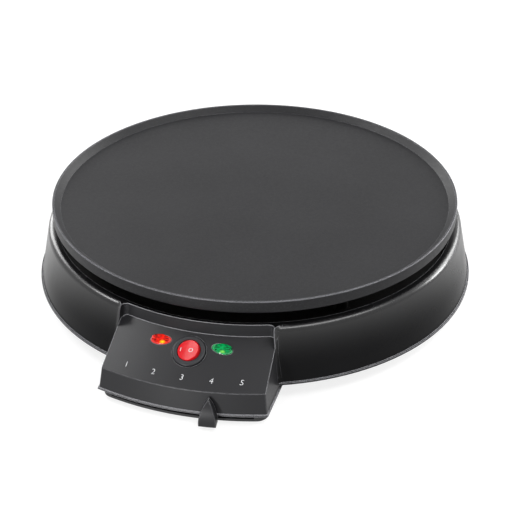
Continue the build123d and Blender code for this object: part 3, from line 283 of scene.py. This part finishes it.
# Plain finishes by the part's material slots. "tones" are two colours in soft patches, mixed over
# "spread" where given. "patch", "rough" and "relief" start with a noise's size and detail; "rough"
# ends with its two values, "relief" with its depth and strength, and "edge" is the small radius
# that catches light. "lines" scales the coordinates of "rough" and "relief" to draw them out along
# an axis. Lengths in millimetres.
smallMoulding = {"sockets": {"IOR": 1.5}, "patch": (6.0, 3.0), "relief": (0.6, 2.0, 0.01, 0.5), "edge": 0.25}
lensBody = {"patch": (2.0, 3.0), "relief": (1.0, 2.0, 0.02, 0.4),
            "sockets": {"IOR": 1.58, "Roughness": 0.15, "Transmission Weight": 0.35,
                        "Emission Strength": 0.25}}
neonGlass = {"IOR": 1.5, "Roughness": 0.08, "Transmission Weight": 0.5}
neonTube = {"patch": (1.5, 2.0), "relief": (1.0, 2.0, 0.01, 0.3)}
plainFinishes = {
    # satin ABS of the switch bezel: soft, slightly grey sheen
    "satin_black_plastic": {
        "name": "satinMouldedAbs", "sockets": {"IOR": 1.5, "Specular IOR Level": 0.35},
        "tones": ("#1e1e21", "#242427"), "patch": (8.0, 2.0),
        "rough": (1.2, 2.0, 0.34, 0.42), "relief": (0.3, 2.0, 0.01, 0.5), "edge": 0.3},
    # polypropylene of the covers below: dull, with a fine even grain and faint flow marks
    "matte_black_plastic": {
        "name": "grainedPolypropylene", "sockets": {"IOR": 1.49},
        "tones": ("#18181a", "#242426"), "patch": (30.0, 3.0),
        "rough": (0.9, 2.0, 0.55, 0.7), "relief": (0.5, 1.0, 0.03, 0.6), "edge": 0.4},
    # moulded nitrile rubber: very dull, faint bloom in the hollows
    "black_rubber": {
        "name": "mouldedNitrileRubber", "sockets": {"IOR": 1.52},
        "tones": ("#161616", "#2a2928"), "patch": (3.0, 4.0),
        "rough": (0.8, 2.0, 0.72, 0.88), "relief": (0.35, 2.0, 0.04, 0.7)},
    # zinc-plated pressed steel: bright grey with a soft, patchy passivate
    "zinc_steel": {
        "name": "zincPlatedSteel", "sockets": {"Metallic": 1.0},
        "tones": ("#a9aaad", "#c4c5c3"), "patch": (2.5, 3.0),
        "rough": (1.0, 3.0, 0.28, 0.45), "relief": (0.4, 2.0, 0.01, 0.4), "edge": 0.2},
    # black-oxide steel of the posts and pan screws: near black, oily satin, brown where it thins
    "black_oxide_steel": {
        "name": "blackOxideSteel", "sockets": {"Metallic": 0.6},
        "tones": ("#0f0f10", "#1c1a19"), "patch": (3.0, 3.0),
        "rough": (1.2, 3.0, 0.45, 0.6), "relief": (0.5, 2.0, 0.01, 0.4), "edge": 0.2},
    # fired matt black enamel on the pan: faint orange peel, brownish bloom from the heat
    "black_enamel": {
        "name": "firedBlackEnamel", "sockets": {"IOR": 1.5, "Specular IOR Level": 0.2},
        "tones": ("#0b0b0c", "#171412"), "patch": (60.0, 2.0), "spread": (0.45, 0.7, 0.0, 0.5),
        "rough": (2.5, 2.0, 0.55, 0.68), "relief": (1.6, 2.0, 0.015, 0.5), "edge": 0.4},
    # bright rolled aluminium of the sensing head: fine rolling lines across X, dull straw heat marks
    "bright_aluminium": {
        "name": "rolledAluminiumSheet", "sockets": {"Metallic": 1.0},
        "tones": ("#cfd0d2", "#b9ad97"), "patch": (70.0, 2.0), "spread": (0.45, 0.7, 0.0, 0.5),
        "rough": (0.8, 3.0, 0.2, 0.36), "relief": (0.8, 3.0, 0.008, 0.5), "edge": 0.4,
        "lines": (1.0, 0.03, 1.0)},
    # heat-darkened steel sheath of the tubular heater: dull brown-grey oxide
    "element_sheath": {
        "name": "heatDarkenedSteel", "sockets": {"Metallic": 0.8},
        "tones": ("#3a3532", "#5d544b"), "patch": (9.0, 4.0),
        "rough": (3.0, 4.0, 0.5, 0.7), "relief": (0.7, 3.0, 0.02, 0.6)},
    # stamped brass: warm yellow, lightly tarnished
    "brass": {
        "name": "stampedBrass", "sockets": {"Metallic": 1.0},
        "tones": ("#c9a552", "#a8853c"), "patch": (3.0, 3.0),
        "rough": (1.5, 3.0, 0.25, 0.42), "relief": (0.5, 2.0, 0.01, 0.4)},
    # pressed and fired steatite: chalky off-white with tiny pores
    "ceramic_white": {
        "name": "firedSteatite", "sockets": {"IOR": 1.55},
        "tones": ("#ddd8cb", "#cdc6b6"), "patch": (4.0, 4.0),
        "rough": (0.8, 2.0, 0.6, 0.8), "relief": (0.4, 3.0, 0.03, 0.6)},
    # glossy translucent red polycarbonate of the rocker: light soaks in a little at its edges
    "red_plastic": {
        "name": "glossyRedPolycarbonate",
        "sockets": {"IOR": 1.58, "Specular IOR Level": 0.1, "Subsurface Weight": 0.12,
                    "Subsurface Radius": (1.0, 0.15, 0.1), "Subsurface Scale": 1.5 * mm},
        "tones": ("#c0101a", "#cc1720"), "patch": (7.0, 2.0),
        "rough": (3.0, 2.0, 0.22, 0.28), "relief": (1.5, 2.0, 0.004, 0.4), "edge": 0.35},
    # clear coloured polycarbonate behind the facets, two tones in patches, with a faint painted glow of the lamp
    # behind
    "red_lens": {**lensBody, "name": "redPolycarbonateLens", "tones": ("#b51208", "#e2281a")},
    "green_lens": {**lensBody, "name": "greenPolycarbonateLens", "tones": ("#046b3c", "#10a85a")},
    # small neon lamps: glass with a coloured discharge, or none
    "lamp_glow_amber": {
        **neonTube, "name": "litNeonTube", "sockets": {**neonGlass, "Emission Strength": 2.0},
        "tones": ("#ff9a2a", "#ffd060")},
    "lamp_glass": {
        **neonTube, "name": "unlitNeonTube", "sockets": {**neonGlass, "Emission Strength": 0.0},
        "tones": ("#c8d2c8", "#dfe6df")},
    # small mouldings and wire insulation: even colour, soft sheen, slight flow variation
    "white_plastic": {
        **smallMoulding, "name": "whiteMouldedPolyamide", "tones": ("#dcdad2", "#e8e6df"),
        "rough": (1.5, 2.0, 0.37, 0.48)},
    "bakelite_black": {
        **smallMoulding, "name": "mouldedPhenolic", "tones": ("#1d1916", "#2c2622"),
        "rough": (1.5, 2.0, 0.3, 0.41)},
    "brown_insulation": {
        **smallMoulding, "name": "brownPvcInsulation", "tones": ("#5d3a22", "#6b452a"),
        "rough": (1.5, 2.0, 0.37, 0.48)},
    "blue_insulation": {
        **smallMoulding, "name": "bluePvcInsulation", "tones": ("#1f4f9c", "#2a5fb0"),
        "rough": (1.5, 2.0, 0.37, 0.48)},
    "white_insulation": {
        **smallMoulding, "name": "whiteSiliconeInsulation", "tones": ("#dedcd6", "#cfccc4"),
        "rough": (1.5, 2.0, 0.5, 0.61)},
}


def plainFinish(look):
    # two tones in patches, patchy roughness and a fine relief; a lit finish glows in its own tones
    material, tree, place = startMaterial(look["name"])
    lines = place
    if "lines" in look:
        lines = addNode(tree, "ShaderNodeMapping", {"Vector": place, "Scale": look["lines"]})
    noises = {}
    for part, vector in (("patch", place), ("rough", lines), ("relief", lines)):
        if part in look:
            size, detail = look[part][:2]
            noises[part] = addNode(tree, "ShaderNodeTexNoise", {"Vector": vector, "Scale": perMetre(size),
                                   "Detail": detail})
    spans = {"patch": look.get("spread", (*patchSpan, 0.0, 1.0))}
    if "rough" in look:
        spans["rough"] = (*patchSpan, *look["rough"][2:])
    made = {}
    for part, (start, end, low, high) in spans.items():
        made[part] = addNode(tree, "ShaderNodeMapRange", {"Value": noises[part], "From Min": start,
                             "From Max": end, "To Min": low, "To Max": high})
    first, second = (hexColour(code) for code in look["tones"])
    tone = addNode(tree, "ShaderNodeMix", {"Factor": made["patch"], "A": first, "B": second}, data_type="RGBA")
    sockets = {**look["sockets"], "Base Color": tone}
    if "rough" in look:
        sockets["Roughness"] = made["rough"]
    if "Emission Strength" in sockets:
        sockets["Emission Color"] = tone
    depth, strength = look["relief"][2:]
    bump = {"Height": noises["relief"], "Distance": depth * mm, "Strength": strength}
    if "edge" in look:
        bump["Normal"] = addNode(tree, "ShaderNodeBevel", {"Radius": look["edge"] * mm}, samples=bevelSamples)
    sockets["Normal"] = addNode(tree, "ShaderNodeBump", bump)
    shader = addNode(tree, "ShaderNodeBsdfPrincipled", sockets)
    addNode(tree, "ShaderNodeOutputMaterial", {"Surface": shader})
    return material


finishes = {slot: plainFinish(look) for slot, look in plainFinishes.items()}
finishes["gloss_black_plastic"] = mouldedBlackAbs(blackAbs)
finishes["nonstick_coating"] = nonStickCoating(coating)
finishes["green_insulation"] = earthInsulation(earthWire)
slotOf = {part["node"]: part["material_slot"] for part in frame["record"]["subparts"]}
for nodeName, slotName in slotOf.items():
    node = frame["nodes"][nodeName]
    for index in range(len(node.data.materials)):
        node.material_slots[index].link = "OBJECT"
        node.material_slots[index].material = finishes[slotName]
print("finishes made:", len(finishes))


# Helpers for pieces that lie on the CAD surfaces

mergeGap = 1e-6   # metres between points that are one
skyHeight = 0.2   # metres, above everything


def surfaceTree(nodeName):
    mesh = frame["nodes"][nodeName].data
    points = [v.co.copy() for v in mesh.vertices]
    return BVHTree.FromPolygons(points, [list(p.vertices) for p in mesh.polygons])


def groundPoint(tree, x, y):
    # the highest point of a surface over x, y, and its outward normal
    point, normal, _, _ = tree.ray_cast(Vector((x, y, skyHeight)), Vector((0, 0, -1)))
    return point, normal if normal.z > 0 else -normal


def newPiece(name, mesh, body, material):
    piece = bpy.data.objects.new(name, mesh)
    bpy.context.scene.collection.objects.link(piece)
    mesh.materials.clear()
    mesh.materials.append(material)
    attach(piece, body)
    return piece


def bakeModifiers(source):
    # the plain mesh that an object's modifiers make
    bpy.context.view_layer.update()
    evaluated = source.evaluated_get(bpy.context.evaluated_depsgraph_get())
    mesh = bpy.data.meshes.new_from_object(evaluated)
    bpy.data.objects.remove(source)
    return mesh


def closeMesh(work, mesh):
    # turns all faces outwards and hands the shape over to its mesh
    bmesh.ops.recalc_face_normals(work, faces=work.faces)
    work.to_mesh(mesh)
    work.free()
    return mesh


# Cooking plate: the CAD plate's profile turned finely, so that its rim and lower edge run smooth

plateCut = {"segments": 360, "arcSteps": 8, "sharp": 30.0}
# radius, height over the node's lowest point and corner radius, in millimetres, along the
# underside from the axis to the rim and back over the dish
plateProfile = ((0, 4, 0), (133.1, 4, 0), (133.1, 0, 0), (136.1, 0, 0), (136.1, 4, 0), (145.6, 4, 0),
                (148.6, 3, 0), (155, 3, 2.5), (155, 13, 0.5), (153.6, 13, 0.5), (148.6, 8.5, 0), (0, 8.5, 0))


def roundedOutline(profile, steps):
    points = [Vector(p[:2]) for p in profile]
    outline = []
    for index, (corner, (_, _, radius)) in enumerate(zip(points, profile)):
        if not radius:
            outline.append(corner)
            continue
        back = (points[index - 1] - corner).normalized()
        forth = (points[index + 1] - corner).normalized()
        half = back.angle(forth) / 2
        centre = corner + (back + forth).normalized() * radius / math.sin(half)
        start = corner + back * radius / math.tan(half) - centre
        turn = start.angle_signed(corner + forth * radius / math.tan(half) - centre)
        for step in range(steps + 1):
            outline.append(centre + Matrix.Rotation(-turn * step / steps, 2) @ start)
    return outline


def turnedMesh(name, outline, bottom, segments):
    work = bmesh.new()
    rings = []
    for point in outline:
        count = segments if point.x else 1
        radius, height = point.x * mm, bottom + point.y * mm
        angles = [2 * math.pi * side / count for side in range(count)]
        spots = [(radius * math.cos(angle), axisY + radius * math.sin(angle), height) for angle in angles]
        rings.append([work.verts.new(spot) for spot in spots])
    for first, second in zip(rings, rings[1:]):
        for side in range(segments):
            after = (side + 1) % segments
            corners = (first[side % len(first)], first[after % len(first)],
                       second[after % len(second)], second[side % len(second)])
            work.faces.new(dict.fromkeys(corners))   # a ring at the axis is one point
    mesh = closeMesh(work, bpy.data.meshes.new(name))
    mesh.shade_smooth()
    mesh.set_sharp_from_angle(angle=math.radians(plateCut["sharp"]))
    return mesh


plateOutline = roundedOutline(plateProfile, plateCut["arcSteps"])
plateMesh = turnedMesh("hot_plate_turned", plateOutline, plateLow.z, plateCut["segments"])
turnedPlate = newPiece("hot_plate_turned", plateMesh, "plate",
                       finishes["nonstick_coating"])
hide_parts("hot_plate")
print("plate turned")


# Printed marks: numerals on the panel, I and O on the rocker. Tampo-printed ink, pale grey, thin
# and slightly uneven. Lengths in millimetres; "weight" is a share of the text's size, and the
# marks are dropped onto their surfaces from "drop" and "rockerDrop" above.

inkLook = {"name": "printedPaleInk", "sockets": {"IOR": 1.5}, "tones": ("#c2c3c5", "#d6d7d9"),
           "patch": (0.6, 3.0), "rough": (0.5, 2.0, 0.5, 0.65), "relief": (0.25, 2.0, 0.01, 0.5)}
numerals = {"height": 4.2, "count": 5, "radius": 185.6, "shear": 0.06, "ink": 0.05, "weight": -0.006}
rockerMarks = {"height": 3.0, "shear": 0.0, "ink": 0.04, "weight": 0.01, "places": {"I": -5.9, "O": 1.6}}
lettering = {"digitShare": 0.69,   # a digit's height as a share of the text's size
             "curveSteps": 5, "drop": 4.0, "rockerDrop": 8.0}
inkFinish = plainFinish(inkLook)
panelTree = surfaceTree("base_housing")
toRight = Vector((1, 0, 0))


def textMesh(letters, look):
    data = bpy.data.curves.new("lettering", "FONT")
    data.body, data.size = letters, look["height"] * mm / lettering["digitShare"]
    data.shear, data.offset = look["shear"], look["weight"] * data.size
    data.align_x, data.align_y = "CENTER", "CENTER"
    data.resolution_u = lettering["curveSteps"]
    source = bpy.data.objects.new("lettering", data)
    bpy.context.scene.collection.objects.link(source)
    return bakeModifiers(source)


def layOn(mesh, tree, centre, right, normal, ink):
    # drops a flat mesh onto a surface, gives it the ink's thickness and closes it
    up = normal.cross(right).normalized()
    work = bmesh.new()
    work.from_mesh(mesh)
    bmesh.ops.remove_doubles(work, verts=work.verts, dist=mergeGap)
    low, high = (Vector([pick(v.co[axis] for v in work.verts) for axis in (0, 1)]) for pick in (min, max))
    middle = (low + high) / 2
    for vert in work.verts:
        flat = vert.co.xy - middle
        above = centre + right * flat.x + up * flat.y + normal * lettering["drop"] * mm
        point, _, _, _ = tree.ray_cast(above, -normal)
        vert.co = (point or centre) + normal * ink * mm
    made = bmesh.ops.extrude_face_region(work, geom=list(work.faces))
    for item in made["geom"]:
        if isinstance(item, bmesh.types.BMVert):
            item.co += normal * ink * mm
    return closeMesh(work, mesh)


joints = {joint["name"]: joint for joint in frame["joints"]}
knobLow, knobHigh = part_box("lever_knob")
knobAngle = math.degrees(math.atan2((knobLow.x + knobHigh.x) / 2, axisY - knobLow.y))
restAngle = round(knobAngle * 2) / 2   # the lever was set to half a degree
firstMark, lastMark = (restAngle + turn for turn in joints["lever_swing"]["range_deg"])
for step in range(numerals["count"]):
    angle = math.radians(firstMark + (lastMark - firstMark) * step / (numerals["count"] - 1))
    reach = numerals["radius"] * mm
    spot, normal = groundPoint(panelTree, reach * math.sin(angle), axisY - reach * math.cos(angle))
    across = (toRight - normal * normal.x).normalized()
    mesh = layOn(textMesh(str(step + 1), numerals), panelTree, spot, across, normal, numerals["ink"])
    newPiece("panel_numeral_%d" % (step + 1), mesh, "base", inkFinish)

rockerTree = surfaceTree("rocker")
pivot, pinLine = (Vector(joints["rocker_tip"][key]) for key in ("pos_m", "axis"))
panelNormal = toRight.cross(pinLine).normalized()
for letter, place in rockerMarks["places"].items():
    spot = pivot + toRight * place * mm + panelNormal * lettering["rockerDrop"] * mm
    hit, _, _, _ = rockerTree.ray_cast(spot, -panelNormal)
    mesh = layOn(textMesh(letter, rockerMarks), rockerTree, hit, toRight, panelNormal, rockerMarks["ink"])
    newPiece("rocker_mark_%s" % letter, mesh, "switch_button", inkFinish)
print("marks printed")


# Faceted lamp lenses: "rings" are shares of the half size with their heights over the panel, and
# "hot" is where the lamp's painted glow is brightest. Lengths in millimetres.

lensCut = {"sides": 14, "rings": ((1.0, -0.5), (1.0, 0.62), (0.86, 0.86), (0.52, 1.06), (0.2, 1.1)),
           "halfLength": 7.3, "halfWidth": 3.55, "turn": 4.0, "highest": 0.35, "beside": 6.5, "hotRise": 1.0,
           "endShade": 0.9, "oddShade": 0.35}
lensGlass = {"sockets": {"IOR": 1.49, "Roughness": 0.16, "Specular IOR Level": 0.12, "Emission Strength": 0.3},
             "mottle": 1.4, "mottleShare": 0.35, "glowSpan": (0.15, 1.0),
             "relief": 0.9, "depth": 0.02, "strength": 0.4}
lensLooks = {
    "power": {"slot": "red_lens", "tones": ("#e01c0e", "#3a0706", "#ffb814"),
              "hot": (1.6, -2.5), "hotSize": (2.4, 1.9)},
    "ready": {"slot": "green_lens", "tones": ("#009148", "#012a1a", "#6fbf4a"),
              "hot": (0.9, -3.0), "hotSize": (2.4, 1.6)},
}


def lampLens(name, tones, centre, size):
    # clear moulded lens cut in facets: each facet takes its own painted shade of the colour, and the
    # light of the lamp behind is painted in as a glow of the whole lens, brightest low in the middle
    material, tree, place = startMaterial(name)
    mottle, relief = (addNode(tree, "ShaderNodeTexNoise", {"Vector": place,
                      "Scale": perMetre(lensGlass[part])}) for part in ("mottle", "relief"))
    mottle = addNode(tree, "ShaderNodeMapRange", {"Value": mottle, "From Min": patchSpan[0],
                     "From Max": patchSpan[1], "To Max": lensGlass["mottleShare"]})
    shade = addNode(tree, "ShaderNodeAttribute", attribute_name="facetShade").outputs["Fac"]
    away = place
    for operation, by in (("SUBTRACT", centre), ("DIVIDE", size)):
        away = addNode(tree, "ShaderNodeVectorMath", {0: away, 1: by}, operation=operation)
    away = addNode(tree, "ShaderNodeVectorMath", {0: away}, operation="LENGTH")
    glow = addNode(tree, "ShaderNodeMapRange", {"Value": away, "From Min": lensGlass["glowSpan"][0],
                   "From Max": lensGlass["glowSpan"][1], "To Min": 1.0, "To Max": 0.0})
    for operation, by in (("ADD", mottle), ("MINIMUM", 1.0)):
        shade = addNode(tree, "ShaderNodeMath", {0: shade, 1: by}, operation=operation)
    # the dark tone is the facets' painted shade, the hot tone the painted glow of the lamp
    lit, dark, hot = (hexColour(tone) for tone in tones)
    for share, over in ((shade, dark), (glow, hot)):
        lit = addNode(tree, "ShaderNodeMix", {"Factor": share, "A": lit, "B": over}, data_type="RGBA")
    bump = addNode(tree, "ShaderNodeBump", {"Height": relief, "Distance": lensGlass["depth"] * mm,
                   "Strength": lensGlass["strength"]})
    shader = addNode(tree, "ShaderNodeBsdfPrincipled", {**lensGlass["sockets"], "Base Color": lit,
                     "Emission Color": lit, "Normal": bump})
    addNode(tree, "ShaderNodeOutputMaterial", {"Surface": shader})
    return material


def panelSpot(x, near):
    # the panel's plane under a lens, read beside it
    beside, _ = groundPoint(panelTree, x, near.y - lensCut["beside"] * mm)
    return near - panelNormal * (near - beside).dot(panelNormal)


def facetedLens(name, node, look):
    low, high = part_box(node)
    x, y = (low.x + high.x) / 2, low.y + (high.y - low.y) * lensCut["highest"]
    rim, _ = groundPoint(surfaceTree(node), x, y)
    lean = math.radians(lensCut["turn"]) * (1 if x > 0 else -1)
    right = Matrix.Rotation(lean, 3, panelNormal) @ toRight
    up = panelNormal.cross(right)
    centre = panelSpot(x, rim)
    work = bmesh.new()
    rings = []
    for index, (size, rise) in enumerate(lensCut["rings"]):
        ring = []
        for side in range(lensCut["sides"]):
            # every other ring is turned by half a side
            turn = 2 * math.pi * (side + 0.5 * (index % 2)) / lensCut["sides"]
            flat = right * math.cos(turn) * size * lensCut["halfLength"] * mm
            flat += up * math.sin(turn) * size * lensCut["halfWidth"] * mm
            ring.append(work.verts.new(centre + flat + panelNormal * rise * mm))
        rings.append(ring)
    for index, (lower, upper) in enumerate(zip(rings, rings[1:])):
        for side in range(lensCut["sides"]):
            after = (side + 1) % lensCut["sides"]
            if index % 2:
                work.faces.new((lower[side], lower[after], upper[after]))
                work.faces.new((lower[side], upper[after], upper[side]))
            else:
                work.faces.new((lower[side], lower[after], upper[side]))
                work.faces.new((lower[after], upper[after], upper[side]))
    work.faces.new(rings[-1])
    work.faces.new(list(reversed(rings[0])))
    mesh = closeMesh(work, bpy.data.meshes.new(name))
    shades = mesh.attributes.new("facetShade", "FLOAT", "FACE")
    for index, face in enumerate(mesh.polygons):
        # painted shade: darker towards the ends by five steps, and every third facet darker still
        away = abs((face.center - centre).dot(right)) / (lensCut["halfLength"] * mm)
        step, odd = ((index * 7) % 5) / 4, (index * 5) % 3 == 0
        shades.data[index].value = lensCut["endShade"] * away * step + lensCut["oddShade"] * odd
    (hotX, hotY), (sizeX, sizeY) = look["hot"], look["hotSize"]
    hot = centre + right * hotX * mm + up * hotY * mm + panelNormal * lensCut["hotRise"] * mm
    material = lampLens(name + "Facets", look["tones"], hot, (sizeX * mm, sizeY * mm, sizeY * mm))
    return mesh, material


for key, look in lensLooks.items():
    mesh, material = facetedLens(key + "_lens_facets", key + "_lens", look)
    newPiece(key + "_lens_facets", mesh, "base", material)
print("lenses cut")


# Screws: pan heads with a cross recess, set by Geometry Nodes at the CAD screws' places.
# Lengths in millimetres; the shares are of the head's height and radius.

screwLook = {"headRadius": 3.0, "headHeight": 1.7, "shankRadius": 1.4,
             "recessWidth": 0.95, "recessLength": 3.3, "recessDepth": 1.1,
             "segments": 32, "edgeShare": 0.45, "crownShare": 0.72, "firstSeed": 11}
# true where the heads point up; each set takes its own seed for the screws' turns
screwSets = {"cover_screws": False, "pod_cover_screws": False, "pan_screws": True}


def islandBoxes(nodeName):
    # low and high corners of each separate solid of a CAD node
    work = bmesh.new()
    work.from_mesh(frame["nodes"][nodeName].data)
    bmesh.ops.remove_doubles(work, verts=work.verts, dist=mergeGap)
    left, boxes = set(work.verts), []
    while left:
        stack, island = [left.pop()], []
        while stack:
            vert = stack.pop()
            island.append(vert.co.copy())
            for edge in vert.link_edges:
                other = edge.other_vert(vert)
                if other in left:
                    left.discard(other)
                    stack.append(other)
        boxes.append([Vector([pick(p[axis] for p in island) for axis in range(3)]) for pick in (min, max)])
    work.free()
    return sorted(boxes, key=lambda box: (round(box[0].x, 5), round(box[0].y, 5)))


def screwTree(look):
    tree = bpy.data.node_groups.new("panHeadScrews", "GeometryNodeTree")
    numbers = ("Head radius", "Head height", "Shank radius", "Shank length",
               "Recess width", "Recess length", "Recess depth", "Head up")
    for name, kind in (("Places", "Geometry"), *((number, "Float") for number in numbers),
                       ("Seed", "Int"), ("Material", "Material")):
        tree.interface.new_socket(name, in_out="INPUT", socket_type="NodeSocket" + kind)
    tree.interface.new_socket("Screws", in_out="OUTPUT", socket_type="NodeSocketGeometry")
    given = addNode(tree, "NodeGroupInput").outputs
    sums = {}
    for name, operation, first, second in (
            ("edge", "MULTIPLY", "Head height", look["edgeShare"]),
            ("crownRadius", "MULTIPLY", "Head radius", look["crownShare"]),
            ("recess", "MULTIPLY", "Recess depth", 2.0),
            ("crown", "SUBTRACT", "Head height", "edge")):
        inputs = {0: given[first], 1: sums.get(second, second)}
        sums[name] = addNode(tree, "ShaderNodeMath", inputs, operation=operation)

    # the head has a straight edge below and a crowned top, and the shank hangs under it, a trace inside
    solids = []
    for kind, sizes, length, share in (
            ("Cylinder", {"Radius": given["Head radius"], "Depth": sums["edge"]}, sums["edge"], 0.5),
            ("Cone", {"Side Segments": 1, "Radius Top": sums["crownRadius"],
                      "Radius Bottom": given["Head radius"], "Depth": sums["crown"]}, sums["edge"], 1.0),
            ("Cylinder", {"Radius": given["Shank radius"], "Depth": given["Shank length"]},
             given["Shank length"], -0.499)):
        shape = addNode(tree, "GeometryNodeMesh" + kind, {"Vertices": look["segments"], **sizes})
        rise = addNode(tree, "ShaderNodeMath", {0: length, 1: share}, operation="MULTIPLY")
        offset = addNode(tree, "ShaderNodeCombineXYZ", {"Z": rise})
        solids.append(addNode(tree, "GeometryNodeTransform", {"Geometry": shape, "Translation": offset}))
    body = addNode(tree, "GeometryNodeMeshBoolean", {"Mesh": solids}, operation="UNION")

    size = addNode(tree, "ShaderNodeCombineXYZ", {"X": given["Recess length"], "Y": given["Recess width"],
                   "Z": sums["recess"]})
    bar = addNode(tree, "GeometryNodeMeshCube", {"Size": size})
    top = addNode(tree, "ShaderNodeCombineXYZ", {"Z": given["Head height"]})
    bars = [addNode(tree, "GeometryNodeTransform", {"Geometry": bar, "Translation": top,
            "Rotation": (0, 0, turn)}) for turn in (0, math.pi / 2)]
    screw = addNode(tree, "GeometryNodeMeshBoolean", {"Mesh 1": body, "Mesh 2": bars}, operation="DIFFERENCE")

    spin = addNode(tree, "FunctionNodeRandomValue", {"Min": (0, 0, 0), "Max": (0, 0, math.pi),
                   "Seed": given["Seed"]}, data_type="FLOAT_VECTOR")
    tilt = addNode(tree, "ShaderNodeMix", {"Factor": given["Head up"], "A": (math.pi, 0, 0), "B": (0, 0, 0)},
                   data_type="VECTOR")
    both = addNode(tree, "ShaderNodeVectorMath", {0: spin, 1: tilt}, operation="ADD")
    turn = addNode(tree, "FunctionNodeEulerToRotation", {"Euler": both})
    placed = addNode(tree, "GeometryNodeInstanceOnPoints", {"Points": given["Places"], "Instance": screw,
                     "Rotation": turn})
    real = addNode(tree, "GeometryNodeRealizeInstances", {"Geometry": placed})
    painted = addNode(tree, "GeometryNodeSetMaterial", {"Geometry": real, "Material": given["Material"]})
    addNode(tree, "NodeGroupOutput", {"Screws": painted})
    return tree


def setScrews(tree, look, nodeName, headUp, seed):
    boxes = islandBoxes(nodeName)
    head = look["headHeight"] * mm
    length = boxes[0][1].z - boxes[0][0].z - head
    middles = [(low + high) / 2 for low, high in boxes]
    seats = [high.z - head if headUp else low.z + head for low, high in boxes]
    points = bpy.data.meshes.new(nodeName + "_places")
    points.from_pydata([(middle.x, middle.y, seat) for middle, seat in zip(middles, seats)], [], [])
    source = bpy.data.objects.new(nodeName + "_places", points)
    bpy.context.scene.collection.objects.link(source)
    modifier = source.modifiers.new("screws", "NODES")
    modifier.node_group = tree
    material = finishes[slotOf[nodeName]]
    values = {"Head radius": look["headRadius"] * mm, "Head height": head,
              "Shank radius": look["shankRadius"] * mm, "Shank length": length,
              "Recess width": look["recessWidth"] * mm, "Recess length": look["recessLength"] * mm,
              "Recess depth": look["recessDepth"] * mm, "Head up": 1.0 if headUp else 0.0,
              "Seed": seed, "Material": material}
    for socket in tree.interface.items_tree:
        if socket.name in values:
            modifier[socket.identifier] = values[socket.name]
    piece = newPiece(nodeName + "_cross_head", bakeModifiers(source), "base", material)
    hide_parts(nodeName)


screws = screwTree(screwLook)
for order, (nodeName, headUp) in enumerate(screwSets.items()):
    setScrews(screws, screwLook, nodeName, headUp, screwLook["firstSeed"] + order)
print("screws set")


# Studio: white surroundings, soft lamps and a floor that keeps the shadow. "floorDrop" is in
# millimetres, other lengths in metres, and "power" in watts.

studio = {"floorDrop": 0.2, "floorSize": 6.0, "worldLight": 0.35, "floorGlow": 0.82, "floorGrey": 0.25,
          "shadowReach": (0.6, 1.4), "aimHeight": 0.03}
lamps = {
    "keyBackRight": {"place": (1.1, 1.5, 0.8), "size": (1.0, 0.8), "power": 26.0},
    "stripRight": {"place": (1.3, 0.85, 0.5), "size": (0.35, 0.5), "power": 12.0},
    "overheadRight": {"place": (0.65, -0.35, 1.3), "size": (1.3, 0.35), "power": 12.0},
    "topLeft": {"place": (-1.05, -0.05, 1.3), "size": (0.5, 0.5), "power": 12.0},
    "lowFront": {"place": (-0.42, -1.7, 0.14), "size": (0.26, 0.22), "power": 18.0},
    "edgeLeft": {"place": (-1.3, 1.0, 0.6), "size": (0.5, 1.0), "power": 12.0},
}
white = (1, 1, 1, 1)


def seenDirectly(tree):
    # 1 for the camera, and for what metal, gloss and glass show of the room
    path = addNode(tree, "ShaderNodeLightPath").outputs
    seen = path["Is Camera Ray"]
    for kind in ("Is Glossy Ray", "Is Transmission Ray"):
        seen = addNode(tree, "ShaderNodeMath", {0: seen, 1: path[kind]}, operation="MAXIMUM")
    return seen


def makeRoom():
    world = bpy.data.worlds.new("studioRoom")
    bpy.context.scene.world = world
    world.use_nodes = True
    tree = world.node_tree
    tree.nodes.clear()
    strength = addNode(tree, "ShaderNodeMapRange", {"Value": seenDirectly(tree),
                       "To Min": studio["worldLight"]})
    room = addNode(tree, "ShaderNodeBackground", {"Color": white, "Strength": strength})
    addNode(tree, "ShaderNodeOutputWorld", {"Surface": room})


def hangLamp(name, lamp):
    data = bpy.data.lights.new(name, "AREA")
    data.shape, data.energy = "RECTANGLE", lamp["power"]
    data.size, data.size_y = lamp["size"]
    light = bpy.data.objects.new(name, data)
    light.location = lamp["place"]
    aim = Vector((0, axisY, studio["aimHeight"])) - light.location
    light.rotation_euler = aim.to_track_quat("-Z", "Y").to_euler()
    light.visible_camera = False
    bpy.context.scene.collection.objects.link(light)


def layFloor():
    half = studio["floorSize"] / 2
    mesh = bpy.data.meshes.new("studio_floor")
    corners = [(-half, -half, 0), (half, -half, 0), (half, half, 0), (-half, half, 0)]
    mesh.from_pydata(corners, [], [(0, 1, 2, 3)])
    floor = bpy.data.objects.new("studio_floor", mesh)
    floor.location.z = -studio["floorDrop"] * mm
    bpy.context.scene.collection.objects.link(floor)
    # plain white farther out, a little less near the object so that its shadow stays
    paint, tree, place = startMaterial("whitePaintedFloor")
    near, far = studio["shadowReach"]
    away = addNode(tree, "ShaderNodeVectorMath", {0: place}, operation="LENGTH")
    glow = addNode(tree, "ShaderNodeMapRange", {"Value": away, "From Min": near, "From Max": far,
                   "To Min": studio["floorGlow"]})
    glow = addNode(tree, "ShaderNodeMath", {0: seenDirectly(tree), 1: glow}, operation="MULTIPLY")
    matte = addNode(tree, "ShaderNodeBsdfDiffuse", {"Color": (*[studio["floorGrey"]] * 3, 1)})
    shine = addNode(tree, "ShaderNodeEmission", {"Color": white, "Strength": glow})
    both = addNode(tree, "ShaderNodeAddShader", {0: matte, 1: shine})
    addNode(tree, "ShaderNodeOutputMaterial", {"Surface": both})
    mesh.materials.append(paint)


makeRoom()
for name, lamp in lamps.items():
    hangLamp(name, lamp)
layFloor()
bpy.context.scene.view_settings.view_transform = "Standard"
print("studio lit")
